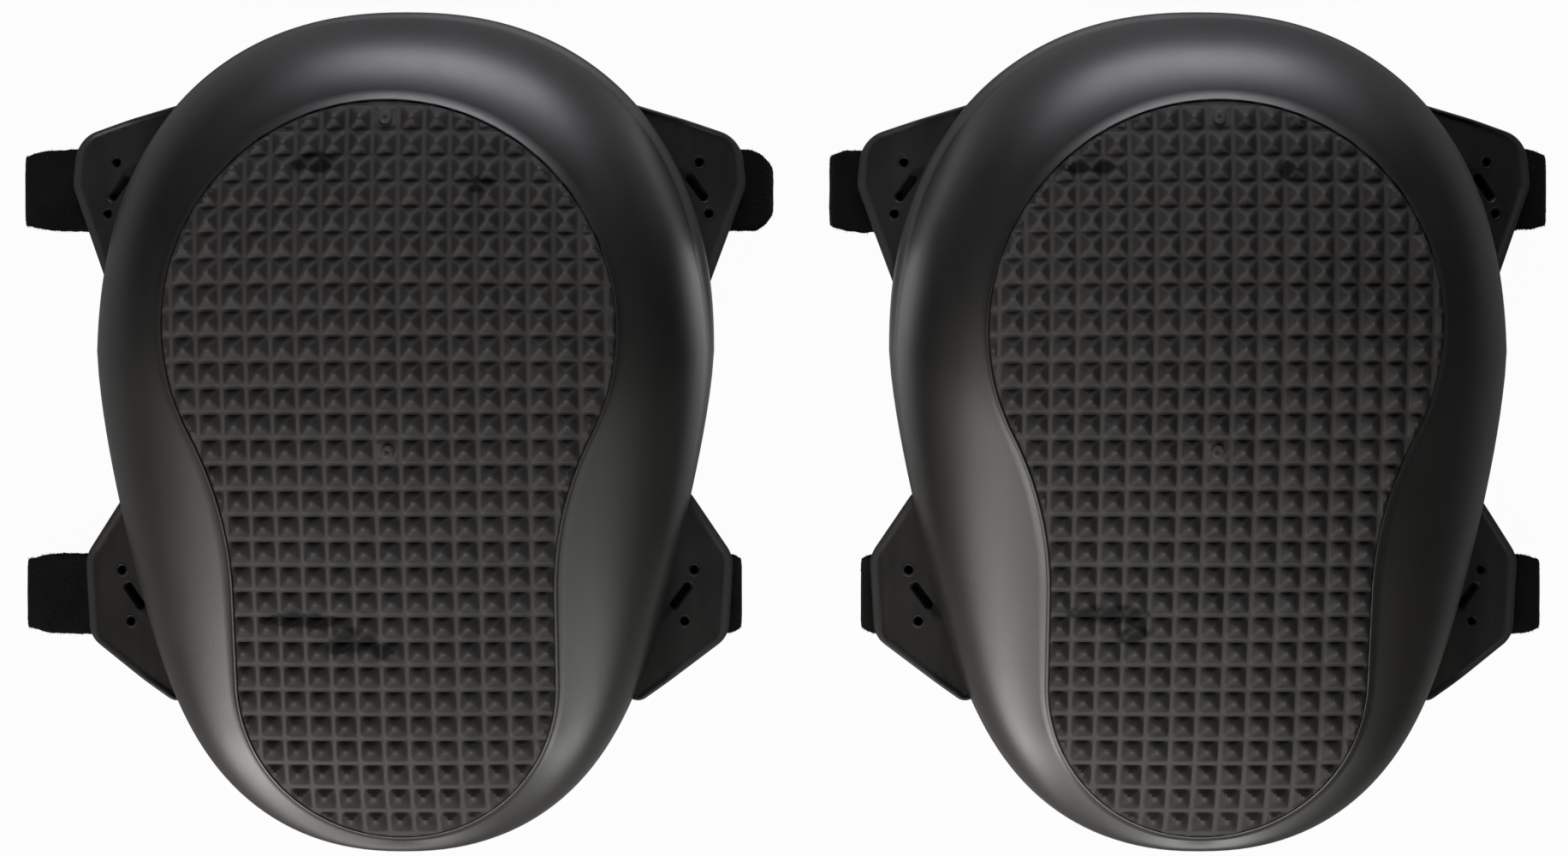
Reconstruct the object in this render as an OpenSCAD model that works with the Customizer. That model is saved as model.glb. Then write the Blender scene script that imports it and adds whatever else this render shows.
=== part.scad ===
// A pair of hard-cap knee pads with studded treads, foam cushions and two leg straps each.
// The pads lie on their backs, tread up. +X runs across the pair, +Y up the leg, +Z out of the knee.
// A pad is drawn with its outer side towards +X. The left pad is its mirror image.

/* [Pair] */
// Distance between the centre lines of the two pads
pad_spacing = 233; // [226:1:300]

/* [Cap] */
// Half of the cap's width on its widest line
cap_half_w = 88.5; // [84:0.5:94]
// Length of the cap above its widest line
cap_top_len = 97.5; // [93:0.5:104]
// Length of the cap below its widest line
cap_bottom_len = 145.5; // [142:0.5:156]
// How square the oval outline is, where 2 is an ellipse
cap_squareness = 2.27; // [2:0.01:2.6]
// How far the lower half pulls in at its waist, as a share of its width
cap_waist = 0.07; // [0:0.01:0.12]
// Thickness of the cap's wall
cap_wall = 3.5; // [2.5:0.1:4.5]
// Height of the crown above the floor, without the studs
crown_h = 80; // [76:1:92]
// Height of the cap's lower rim above the floor
rim_z = 20; // [19:0.5:22]
// Height of the bead that runs round the rim
bead_h = 2.6; // [2:0.1:4]
// How far the bead stands out from the cap's outline
bead_out = 2.2; // [1:0.1:3]
// Height above the rim at which the wall starts to flare out to the bead
flare_h = 8.5; // [6:0.1:10]
// How far the wall stands inside the cap's outline above the flare, round the upper half
flare_in = 1; // [0.4:0.1:1.4]

/* [Crown] */
// Distance of the crown's highest line from the cap's upper end
peak_in = 70; // [60:1:80]
// Radius of the brow, from the highest line to the upper end
brow_r = 170; // [150:1:220]
// Slope of the crown down the shin
shin_slope = 0.31; // [0.2:0.01:0.34]
// Length over which the crown turns into that slope
shin_blend = 50; // [30:1:70]
// Distance from the cap's lower end at which the toe starts to roll over
toe_in = 35; // [25:1:45]
// Radius of the toe's roll
toe_r = 60; // [50:1:90]
// Radius of the crown across the leg
cross_r = 220; // [180:1:300]

/* [Tread] */
// Radius of the round upper field of the tread
tread_knee_r = 63.8; // [58:0.1:66]
// Radius of the narrower lower field
tread_shin_r = 45.5; // [42:0.1:47]
// Radius of the hollow flank that joins the two fields
tread_flank_r = 100; // [80:1:140]
// Distance between the centres of the two fields
tread_reach = 101.5; // [94:0.5:102.5]
// Distance of the tread's upper edge from the cap's upper end
tread_top_gap = 29; // [28:0.5:34]
// Distance between neighbouring studs
stud_pitch = 7.2; // [6.4:0.1:9]
// Height of a stud
stud_h = 3.2; // [1.5:0.1:3.5]
// Depth of the pocket in the cap that the tread is bonded into
pocket_depth = 2.5; // [2:0.1:3.5]
// Gap left for the bond between the tread and its pocket
bond_gap = 0.3; // [0.1:0.05:0.4]

/* [Cushion] */
// Thickness of the foam over the knee
foam_crown_t = 14; // [10:0.5:18]
// Width of the foam's lower edge
foam_edge_w = 12; // [8:0.5:16]
// Gap between the cap and the foam
foam_gap = 0.4; // [0.2:0.05:0.6]
// Thickness of the brushed lining
lining_t = 1.2; // [0.8:0.1:2]

/* [Ears] */
// Thickness of the strap ears
ear_t = 2.2; // [1.6:0.1:3]
// Angle by which the ears fall back from the rim
ear_tilt = 17; // [12:1:19]
// Distance of the upper ears' bend outside the cap's wall
upper_bend_out = 2.1; // [1:0.1:3]
// Distance of the lower ears' bend outside the cap's wall
lower_bend_out = 3.3; // [2:0.1:4]
// Length of the upper ears' flap, from the bend to its edge
upper_ear_reach = 18.6; // [17:0.1:20]
// Length of the lower ears' flap, from the bend to its edge
lower_ear_reach = 19.5; // [18:0.1:22]
// Length of the slot between an ear's rivets and the cap
slot_len = 9; // [6:0.1:10]
// Width of that slot
slot_w = 2.4; // [1.6:0.1:3]

/* [Straps] */
// Width of the straps
strap_w = 24; // [20:1:26]
// Thickness of the straps
strap_t = 1.6; // [1.2:0.1:2]
// Distance of the upper strap's centre from the cap's upper end
upper_strap_in = 49.5; // [46:0.5:53]
// Distance of the lower strap's centre from the cap's lower end
lower_strap_in = 73; // [70:0.5:76]
// How far beyond its ear an upper strap starts to fold
upper_fold_out = 5; // [2:0.1:6]
// How far beyond its ear a lower strap starts to fold, which may be short of the ear's edge
lower_fold_out = -1.5; // [-3:0.1:6]
// How far beyond its ear the left pad's upper tab starts to fold
left_upper_tab_out = 15.5; // [3:0.5:17]
// How far beyond its ear the left pad's lower tab starts to fold
left_lower_tab_out = 19.5; // [5:0.5:20]
// How far beyond its ear the right pad's upper tab starts to fold
right_upper_tab_out = 4; // [3:0.5:17]
// How far beyond its ear the right pad's lower tab starts to fold
right_lower_tab_out = 6.5; // [5:0.5:20]
// Length of a tab's run under the pad
tab_run = 46; // [40:1:60]
// Length of the hook patch under a tab
hook_len = 34; // [24:1:38]
// Thickness of the hook patch
hook_t = 1; // [0.6:0.1:1.4]
// How far a strap's free end stops short of the tab's fold
strap_short = 8; // [4:1:14]

/* [Rivets] */
// Diameter of a rivet's shank
rivet_d = 3.2; // [2.8:0.1:4]
// Diameter of the hole through a rivet
rivet_bore_d = 2.3; // [1.6:0.1:2.5]
// Diameter of a rivet's head
rivet_head_d = 5.2; // [4.6:0.1:6]
// Height of a rivet's head
rivet_head_h = 0.6; // [0.4:0.1:1]
// Distance between the two rivets of an ear, across the strap
rivet_spacing = 15.4; // [12:0.1:16]
// Diameter of a rivet's rolled tail
tail_d = 4.4; // [4.2:0.1:5.6]
// Height of a rivet's rolled tail
tail_h = 0.5; // [0.4:0.1:0.8]
// Diameter of the washer under the tail
washer_d = 6; // [5:0.1:7]
// Thickness of that washer
washer_t = 0.5; // [0.4:0.1:0.8]

/* [Hidden] */
SIDES = ["left", "right"];
LEVELS = ["upper", "lower"];
PAD_PIECES = ["cap", "tread", "foam_cushion", "lining", "rivets", "rivet_washers"];
LEVEL_PIECES = ["outer_ear", "inner_ear", "strap_anchor", "strap", "tab", "hook_patch"];

cap_black = [0.10, 0.10, 0.11];
tread_black = [0.16, 0.16, 0.16];
foam_grey = [0.22, 0.22, 0.23];
lining_grey = [0.13, 0.13, 0.14];
ear_black = [0.13, 0.13, 0.13];
strap_black = [0.05, 0.05, 0.06];
hook_black = [0.08, 0.08, 0.08];
rivet_black = [0.09, 0.09, 0.09];

fit_gap = 0.05;
lay_gap = 0.2;
stop_gap = 0.3;
through = 60;
far = 400;

// Outline of the cap, seen from the front. The origin is halfway along it.
widest_y = (cap_bottom_len - cap_top_len) / 2;
cap_top_y = widest_y + cap_top_len;
cap_bottom_y = widest_y - cap_bottom_len;

// Points round the shells, a multiple of four. Shells that nest share them, so their faces are parallel.
around = 44;
angles = [for (i = [0:around - 1]) 360 * i / around];

function spow(v, e) = sign(v) * pow(abs(v), e);
function oval_sin(a) = spow(sin(a), 2 / cap_squareness);
waist_fade = 1.3;
function waist(a) = sin(a) < 0 ? 1 - cap_waist * pow(sin(180 * abs(oval_sin(a))), waist_fade) : 1;
function outline(a, grow = 0) = [
    (cap_half_w * waist(a) + grow) * spow(cos(a), 2 / cap_squareness),
    widest_y + ((sin(a) > 0 ? cap_top_len : cap_bottom_len) + grow) * oval_sin(a)];
function cap_x(y) =
    let (share = (y - widest_y) / (y > widest_y ? cap_top_len : cap_bottom_len))
    outline(asin(spow(share, cap_squareness / 2)))[0];

// Outline of the tread: two round fields joined by hollow flanks.
knee_y = cap_top_y - tread_top_gap - tread_knee_r;
shin_y = knee_y - tread_reach;
tread_top_y = knee_y + tread_knee_r;
tread_bottom_y = shin_y - tread_shin_r;
tread_mid_y = (tread_top_y + tread_bottom_y) / 2;
flank_x = tread_shin_r + tread_flank_r;
flank_y = knee_y - sqrt(pow(tread_knee_r + tread_flank_r, 2) - pow(flank_x, 2));
knee_end_y = knee_y + (flank_y - knee_y) * tread_knee_r / (tread_knee_r + tread_flank_r);

function chord(r, d) = sqrt(max(0, r * r - d * d));
function tread_half_w(y) =
    y > knee_end_y ? chord(tread_knee_r, y - knee_y) :
    y > flank_y ? flank_x - chord(tread_flank_r, y - flank_y) :
    y > shin_y ? tread_shin_r : chord(tread_shin_r, y - shin_y);
function along_tread(y) = tread_bottom_y
    + (y - cap_bottom_y) * (tread_top_y - tread_bottom_y) / (cap_top_y - cap_bottom_y);
function tread_point(a, share = 1) =
    let (y = along_tread(outline(a)[1]))
    [share * sign(cos(a)) * tread_half_w(y), tread_mid_y + share * (y - tread_mid_y)];

// The crown is highest over the knee, falls away down the shin and rolls over at the toe.
peak_y = cap_top_y - peak_in;
toe_y = cap_bottom_y + toe_in;
function brow_drop(y) = y > peak_y ? pow(y - peak_y, 2) / (2 * brow_r) : 0;
function shin_drop(y) = y < peak_y ?
    shin_slope * (sqrt(pow(peak_y - y, 2) + pow(shin_blend, 2)) - shin_blend) : 0;
function toe_drop(y) = y < toe_y ? pow(toe_y - y, 2) / (2 * toe_r) : 0;
function crown(x, y) =
    crown_h - brow_drop(y) - shin_drop(y) - toe_drop(y) - x * x / (2 * cross_r);

// Rings that the shells are lofted through. Each ring has one point for each of the angles.
function flat_ring(grow, z) = [for (a = angles) concat(outline(a, grow), z)];
function crown_ring(share, lower) = [for (a = angles)
    let (p = tread_point(a, share)) [p[0], p[1], crown(p[0], p[1]) - lower]];

function bezier(p, t) = let (u = 1 - t)
    u * u * u * p[0] + 3 * u * u * t * p[1] + 3 * u * t * t * p[2] + t * t * t * p[3];
wall_pull = 0.62;
shoulder_pull = 0.62;
shoulder_fall = 0.2;
function shoulder_handles(foot, head) =
    let (out = shoulder_pull * [foot[0] - head[0], foot[1] - head[1]])
    [foot, [foot[0], foot[1], foot[2] + wall_pull * (head[2] - foot[2])],
     [head[0] + out[0], head[1] + out[1], head[2] - shoulder_fall * norm(out)], head];
function shoulder_ring(feet, heads, t) = [for (i = [0:around - 1])
    bezier(shoulder_handles(feet[i], heads[i]), t)];
function shoulder_rings(feet, heads, steps) =
    [for (k = [1:steps - 1]) shoulder_ring(feet, heads, k / steps)];
function reversed(v) = [for (i = [len(v) - 1:-1:0]) v[i]];

// A closed shell through a list of rings, each end closed across by rungs from side to side.
// Each four-sided face is split along its shorter diagonal, so nested shells are split alike.
function at(k, i) = k * around + (i + around) % around;
function across(i) = around / 2 - i;
function gap(rings, k, i, l, j) = norm(rings[k][i % around] - rings[l][j % around]);
function skin(rings, k) = [for (i = [0:around - 1]) each
    gap(rings, k, i, k + 1, i + 1) < gap(rings, k, i + 1, k + 1, i) ?
        quad(at(k, i), at(k, i + 1), at(k + 1, i + 1), at(k + 1, i)) :
        quad(at(k, i + 1), at(k + 1, i + 1), at(k + 1, i), at(k, i))];
function rungs(k) = [for (i = [-around / 4:around / 4 - 1]) each concat(
    i == -around / 4 ? [] : [[at(k, i), at(k, across(i)), at(k, i + 1)]],
    i + 1 == around / 4 ? [] : [[at(k, i + 1), at(k, across(i)), at(k, across(i + 1))]])];
function quad(a, b, c, d) = [[a, b, c], [a, c, d]];
function turned(faces) = [for (f = faces) [f[0], f[2], f[1]]];

module shell(rings) {
    last = len(rings) - 1;
    faces = concat(rungs(0), [for (k = [0:last - 1]) each skin(rings, k)], turned(rungs(last)));
    polyhedron([for (r = rings) each r], faces);
}

// The rim flares out to a bead round the upper half. Below the widest line the flare fades out,
// and the wall comes down nearly flush with the bead.
flush_step = 0.6;
flare_fade = 0.8;
flare_sag = 0.6;
function flare_share(a) =
    let (s = min(1, max(0, 0.5 + oval_sin(a) / flare_fade))) s * s * (3 - 2 * s);
function foot_out(a) = let (flush = bead_out - flush_step) flush - flare_share(a) * (flush + flare_in);
function middle_out(a) = (bead_out + foot_out(a)) / 2 - flare_share(a) * flare_sag;

// Cap: pocket for the tread, rounded shoulder, upright wall and the rim.
pocket_share = 1 + bond_gap / tread_shin_r;
under_cap = pocket_depth + cap_wall;
inner_shares = [0.25, 0.6, 0.95];
inner_steps = 5;
pocket_shares = [0.3, 0.66, pocket_share];
shoulder_steps = 7;
module cap() {
    edge = crown_ring(pocket_share, 0);
    wall_foot = [for (a = angles) concat(outline(a, foot_out(a)), rim_z + flare_h)];
    flare_middle = [for (a = angles)
        concat(outline(a, middle_out(a)), rim_z + (flare_h + bead_h) / 2)];
    inner_foot = flat_ring(-cap_wall, rim_z);
    inner_rings = [for (share = inner_shares) crown_ring(share, under_cap)];
    color(cap_black) shell(concat(
        [for (share = pocket_shares) crown_ring(share, pocket_depth)],
        [edge], reversed(shoulder_rings(wall_foot, edge, shoulder_steps)),
        [wall_foot, flare_middle, flat_ring(bead_out, rim_z + bead_h), flat_ring(bead_out, rim_z),
         inner_foot],
        shoulder_rings(inner_foot, inner_rings[2], inner_steps), reversed(inner_rings)));
}

// Tread: a sheet of square studs that follows the crown, cut to the tread's outline.
stud_columns = 2 * ceil(tread_knee_r / stud_pitch + 0.5) - 1;
stud_rows = ceil((tread_top_y - tread_bottom_y) / stud_pitch) + 1;
sheet_x = -stud_columns * stud_pitch / 2;
sheet_y = tread_mid_y - stud_rows * stud_pitch / 2;
across_count = stud_columns + 1;
base_spans = 8;
base_count = base_spans + 1;
base_first = across_count * (stud_rows + 1);
tip_first = base_first + base_count * (stud_rows + 1);
function sheet_point(i, j, lift) =
    let (x = sheet_x + i * stud_pitch, y = sheet_y + j * stud_pitch) [x, y, crown(x, y) + lift];
function corner(i, j) = j * across_count + i;
function base(k, j) = base_first + j * base_count + k;
function tip(i, j) = tip_first + j * stud_columns + i;
function below(i) = round(i * base_spans / stud_columns);
function stud_faces(i, j) = [
    [tip(i, j), corner(i + 1, j), corner(i, j)],
    [tip(i, j), corner(i + 1, j + 1), corner(i + 1, j)],
    [tip(i, j), corner(i, j + 1), corner(i + 1, j + 1)],
    [tip(i, j), corner(i, j), corner(i, j + 1)]];
function base_faces(k, j) = quad(base(k, j), base(k + 1, j), base(k + 1, j + 1), base(k, j + 1));
function end_faces(i, j) = concat([[corner(i, j), corner(i + 1, j), base(below(i), j)]],
    below(i + 1) == below(i) ? [] :
        [[corner(i + 1, j), base(below(i + 1), j), base(below(i), j)]]);
function side_faces(j) = concat(
    quad(corner(0, j + 1), corner(0, j), base(0, j), base(0, j + 1)),
    quad(corner(stud_columns, j), corner(stud_columns, j + 1),
         base(base_spans, j + 1), base(base_spans, j)));

module stud_sheet() {
    base_step = stud_columns / base_spans;
    points = concat(
        [for (j = [0:stud_rows], i = [0:stud_columns]) sheet_point(i, j, 0)],
        [for (j = [0:stud_rows], k = [0:base_spans])
            sheet_point(k * base_step, j, bond_gap - pocket_depth)],
        [for (j = [0:stud_rows - 1], i = [0:stud_columns - 1])
            sheet_point(i + 0.5, j + 0.5, stud_h)]);
    faces = concat(
        [for (j = [0:stud_rows - 1], i = [0:stud_columns - 1]) each stud_faces(i, j)],
        [for (j = [0:stud_rows - 1], k = [0:base_spans - 1]) each base_faces(k, j)],
        [for (i = [0:stud_columns - 1]) each concat(
            end_faces(i, 0), turned(end_faces(i, stud_rows)))],
        [for (j = [0:stud_rows - 1]) each side_faces(j)]);
    polyhedron(points, faces);
}

module tread() {
    color(tread_black) intersection() {
        stud_sheet();
        linear_extrude(crown_h + 2 * stud_h) polygon([for (a = angles) tread_point(a)]);
    }
}

// Soft cushion under the cap, hollowed for the knee, and the lining inside it.
run_z = strap_t + lay_gap + hook_t;
foam_z = run_z + strap_t + stop_gap;
foam_round = 2.5;
foam_out = cap_wall + foam_gap;
foam_in = foam_out + foam_edge_w;
foam_top = under_cap + foam_gap;
foam_under = foam_top + foam_crown_t;
hollow_shares = [0.3, 0.72];
hollow_steps = 4;
module foam_cushion() {
    top_rings = [for (share = inner_shares) crown_ring(share, foam_top)];
    foot = flat_ring(-foam_out, rim_z);
    hollow_foot = flat_ring(-foam_in, foam_z + foam_round);
    hollow_rings = [for (share = hollow_shares) crown_ring(share, foam_under)];
    color(foam_grey) shell(concat(
        top_rings, reversed(shoulder_rings(foot, top_rings[2], inner_steps)),
        [foot, flat_ring(-foam_out, foam_z + foam_round), flat_ring(-foam_out - foam_round, foam_z),
         flat_ring(foam_round - foam_in, foam_z), hollow_foot],
        shoulder_rings(hollow_foot, hollow_rings[1], hollow_steps), reversed(hollow_rings)));
}

module lining() {
    lift = stop_gap + lining_t;
    outer_foot = flat_ring(-foam_in - stop_gap, foam_z + foam_round);
    outer_rings = [for (share = hollow_shares) crown_ring(share, foam_under + stop_gap)];
    inner_foot = flat_ring(-foam_in - lift, foam_z + foam_round);
    inner_rings = [for (share = hollow_shares) crown_ring(share, foam_under + lift)];
    color(lining_grey) shell(concat(
        outer_rings, reversed(shoulder_rings(outer_foot, outer_rings[1], hollow_steps)),
        [outer_foot, inner_foot],
        shoulder_rings(inner_foot, inner_rings[1], hollow_steps), reversed(inner_rings)));
}

// Values of the two strap levels. Ears are drawn flat, and bend down at the level's bend line.
function pick(level, upper, lower) = level == "upper" ? upper : lower;
function strap_y(level) = pick(level, cap_top_y - upper_strap_in, cap_bottom_y + lower_strap_in);
function bend_x(level) =
    cap_x(strap_y(level)) + pick(level, upper_bend_out, lower_bend_out);
function ear_reach(level) = pick(level, upper_ear_reach, lower_ear_reach);

// An ear's four corners. Its root lies under the rim, towards the pad's end, and it is longest there.
upper_root_end = 27;
lower_root_end = 36.5;
ear_edge_slant = 1.5;
ear_root_round = 4;
upper_ear_root = 23;
lower_ear_root = 16;
upper_ear_neck = [4, -37];
lower_ear_neck = [2, -36.5];
upper_edge_ends = [1, 15];
lower_edge_ends = [-11.5, 12.5];
upper_edge_rounds = [8, 10];
lower_edge_rounds = [9, 8];
function ear_corners(level) = let (
    bend = bend_x(level), edge = bend + ear_reach(level),
    neck = pick(level, upper_ear_neck, lower_ear_neck),
    ends = pick(level, upper_edge_ends, lower_edge_ends),
    y = strap_y(level), to_end = pick(level, 1, -1))
    [[bend - pick(level, upper_ear_root, lower_ear_root),
      y + to_end * pick(level, upper_root_end, lower_root_end)],
     [bend + neck[0], y + to_end * neck[1]],
     [edge, y + to_end * ends[0]],
     [edge - ear_edge_slant, y + to_end * ends[1]]];
function ear_radii(level) = concat(
    [ear_root_round, ear_root_round], pick(level, upper_edge_rounds, lower_edge_rounds));

// The two rivets of an ear stand on a leaning line, and a slot leans the other way behind them.
rivet_turn = 11;
upper_rivet_in = 5.6;
lower_rivet_in = 6;
slot_turn = 52;
slot_in = 3.4;
function rivet_lean(level) = pick(level, -rivet_turn, rivet_turn);
function rivet_u(level) = pick(level, upper_rivet_in, lower_rivet_in);

// A convex outline with rounded corners: the corners' circles and the outline between them.
function unit(v) = v / norm(v);
function neighbour(p, i) = p[(i + len(p)) % len(p)];
function to_next(p, i) = unit(neighbour(p, i + 1) - p[i]);
function to_last(p, i) = unit(neighbour(p, i - 1) - p[i]);
function half_angle(p, i) = acos(to_next(p, i) * to_last(p, i)) / 2;
function corner_centre(p, r, i) =
    p[i] + unit(to_next(p, i) + to_last(p, i)) * r[i] / sin(half_angle(p, i));
function corner_ends(p, r, i) = let (d = r[i] / tan(half_angle(p, i)))
    [p[i] + d * to_last(p, i), p[i] + d * to_next(p, i)];
module rounded_outline(p, r) {
    polygon([for (i = [0:len(p) - 1]) each corner_ends(p, r, i)]);
    for (i = [0:len(p) - 1]) translate(corner_centre(p, r, i)) circle(r[i], $fn = 48);
}

// Places children on an ear's sloping face: x runs out along the slope and z stands off the face.
module on_slope(level) {
    translate([bend_x(level), 0, rim_z]) rotate([0, ear_tilt, 0]) children();
}

module at_rivets(level) {
    for (s = [-1, 1])
        on_slope(level)
            translate([rivet_u(level) + s * rivet_spacing / 2 * sin(rivet_lean(level)),
                       strap_y(level) + s * rivet_spacing / 2 * cos(rivet_lean(level)), 0])
                children();
}

module rivet_holes(level) {
    at_rivets(level)
        cylinder(d = rivet_d + 2 * fit_gap, h = through, center = true, $fn = 32);
}

module ear_slot(level) {
    on_slope(level) translate([slot_in, strap_y(level), 0])
        rotate([0, 0, pick(level, -slot_turn, slot_turn)])
        linear_extrude(through, center = true) {
            square([slot_len - slot_w, slot_w], center = true);
            for (s = [-1, 1]) translate([s * (slot_len - slot_w) / 2, 0]) circle(d = slot_w, $fn = 24);
        }
}

module ear_flat(level) {
    rounded_outline(ear_corners(level), ear_radii(level));
}

// Ear: a flat tongue under the rim and a flap that falls back from it.
module ear(level) {
    color(ear_black) difference() {
        union() {
            translate([0, 0, rim_z - ear_t]) linear_extrude(ear_t) intersection() {
                ear_flat(level);
                translate([-far + bend_x(level), -far / 2]) square(far);
            }
            on_slope(level) translate([0, 0, -ear_t]) linear_extrude(ear_t) intersection() {
                translate([-bend_x(level), 0]) ear_flat(level);
                translate([0, -far / 2]) square(far);
            }
        }
        translate([0, 0, rim_z]) linear_extrude(through, center = true)
            polygon([for (a = angles) outline(a, -cap_wall)]);
        rivet_holes(level);
        ear_slot(level);
    }
}

// A strap's side profile: down the back of its ear, round a fold and along under the pad.
fold_steps = 8;
slope_dir = [cos(ear_tilt), -sin(ear_tilt)];
slope_up = [sin(ear_tilt), cos(ear_tilt)];
band_lower = ear_t + strap_t / 2;
band_start = 0.4;
function band_mid(level, u) = [bend_x(level), rim_z] + u * slope_dir - band_lower * slope_up;
function fold_start(level, out) = band_mid(level, ear_reach(level) + out);
function fold_r(level, out, z) = (fold_start(level, out)[1] - z) / (1 + cos(ear_tilt));
function fold_centre(level, out, z) =
    fold_start(level, out) - fold_r(level, out, z) * slope_up;
function fold_arc(level, out, z, grow) = [for (i = [0:fold_steps])
    let (a = 90 - ear_tilt - (180 - ear_tilt) * i / fold_steps)
    fold_centre(level, out, z) + (fold_r(level, out, z) + grow) * [cos(a), sin(a)]];
function fold_x(level, out, z) = fold_centre(level, out, z)[0];
function fold_reach(level, out, z) = fold_x(level, out, z) + fold_r(level, out, z) + strap_t / 2;
function band_profile(level, out, z, run) = let (
    t = strap_t / 2, start = band_mid(level, band_start), end_x = fold_x(level, out, z) - run)
    concat([start + t * slope_up], fold_arc(level, out, z, t), [[end_x, z - t], [end_x, z + t]],
           reversed(fold_arc(level, out, z, -t)), [start - t * slope_up]);

module across_strap(level, width) {
    translate([0, strap_y(level) + width / 2, 0]) rotate([90, 0, 0])
        linear_extrude(width) children();
}

module riveted_band(level, out, z, run) {
    color(strap_black) difference() {
        across_strap(level, strap_w) polygon(band_profile(level, out, z, run));
        rivet_holes(level);
    }
}

// The strap side: a riveted end with its fold, and the long free strap that swings from it.
floor_z = strap_t / 2;
anchor_run = 1;
function fold_out(level) = pick(level, upper_fold_out, lower_fold_out);
function swing_x(level) =
    fold_x(level, fold_out(level), floor_z) - anchor_run - stop_gap - strap_t / 2;
module strap_anchor(level) {
    riveted_band(level, fold_out(level), floor_z, anchor_run);
}

module strap(level, tab_out) {
    free_x = strap_short - fold_x(level, tab_out, run_z + strap_t / 2);
    color(strap_black) across_strap(level, strap_w) {
        translate([free_x, 0]) square([swing_x(level) - free_x, strap_t]);
        translate([swing_x(level), floor_z]) circle(d = strap_t, $fn = 24);
    }
}

// The tab side: a riveted tab that folds back under the pad, with hooks facing the strap.
hook_inset = 2;
module tab(level, tab_out) {
    riveted_band(level, tab_out, run_z + strap_t / 2, tab_run);
}

module hook_patch(level, tab_out) {
    end_x = fold_x(level, tab_out, run_z + strap_t / 2) - tab_run;
    color(hook_black)
        translate([end_x + hook_inset, strap_y(level) - strap_w / 2 + hook_inset / 2, run_z - hook_t])
            cube([hook_len, strap_w - hook_inset, hook_t]);
}

// Tubular rivets with rolled tails, and the washers under the tails.
tail_z = -ear_t - strap_t - washer_t;
module rivet() {
    difference() {
        union() {
            cylinder(d = rivet_head_d, h = rivet_head_h, $fn = 40);
            translate([0, 0, tail_z]) cylinder(d = rivet_d, h = -tail_z, $fn = 32);
            translate([0, 0, tail_z - tail_h]) cylinder(d = tail_d, h = tail_h, $fn = 32);
        }
        cylinder(d = rivet_bore_d, h = through, center = true, $fn = 32);
    }
}

module washer() {
    translate([0, 0, tail_z]) difference() {
        cylinder(d = washer_d, h = washer_t, $fn = 32);
        cylinder(d = rivet_d + 2 * fit_gap, h = through, center = true, $fn = 32);
    }
}

module both_sides() {
    children();
    mirror([1, 0, 0]) children();
}

module rivets() {
    color(rivet_black) both_sides() for (l = LEVELS) at_rivets(l) rivet();
}

module rivet_washers() {
    color(rivet_black) both_sides() for (l = LEVELS) at_rivets(l) washer();
}

// The pair is centred on its whole width, so its tabs set how far it shifts sideways.
function tab_out(side, level) = side == "left" ?
    pick(level, left_upper_tab_out, left_lower_tab_out) :
    pick(level, right_upper_tab_out, right_lower_tab_out);
function tab_reach(side) = max([for (l = LEVELS)
    fold_reach(l, tab_out(side, l), run_z + strap_t / 2)]);
pair_shift = (tab_reach("left") - tab_reach("right")) / 2;

module place(side) {
    if (side == "left") translate([pair_shift - pad_spacing / 2, 0, 0]) mirror([1, 0, 0]) children();
    else translate([pair_shift + pad_spacing / 2, 0, 0]) children();
}

module pad_piece(piece) {
    if (piece == "cap") cap();
    if (piece == "tread") tread();
    if (piece == "foam_cushion") foam_cushion();
    if (piece == "lining") lining();
    if (piece == "rivets") rivets();
    if (piece == "rivet_washers") rivet_washers();
}

module level_piece(level, piece, out) {
    if (piece == "outer_ear") ear(level);
    if (piece == "inner_ear") mirror([1, 0, 0]) ear(level);
    if (piece == "strap_anchor") mirror([1, 0, 0]) strap_anchor(level);
    if (piece == "strap") mirror([1, 0, 0]) strap(level, out);
    if (piece == "tab") tab(level, out);
    if (piece == "hook_patch") hook_patch(level, out);
}

for (side = SIDES) {
    for (piece = PAD_PIECES)
        place(side) pad_piece(piece);
    for (level = LEVELS, piece = LEVEL_PIECES)
        place(side) level_piece(level, piece, tab_out(side, level));
}
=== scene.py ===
"""Looks of a pair of hard-cap knee pads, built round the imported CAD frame. Lengths are in metres."""
from math import acos, atan2, ceil, cos, degrees, pi, radians, sin, sqrt, tan

import bmesh
import bpy
import numpy as np
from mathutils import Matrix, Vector, noise
from mathutils.bvhtree import BVHTree
from mathutils.kdtree import KDTree


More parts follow.
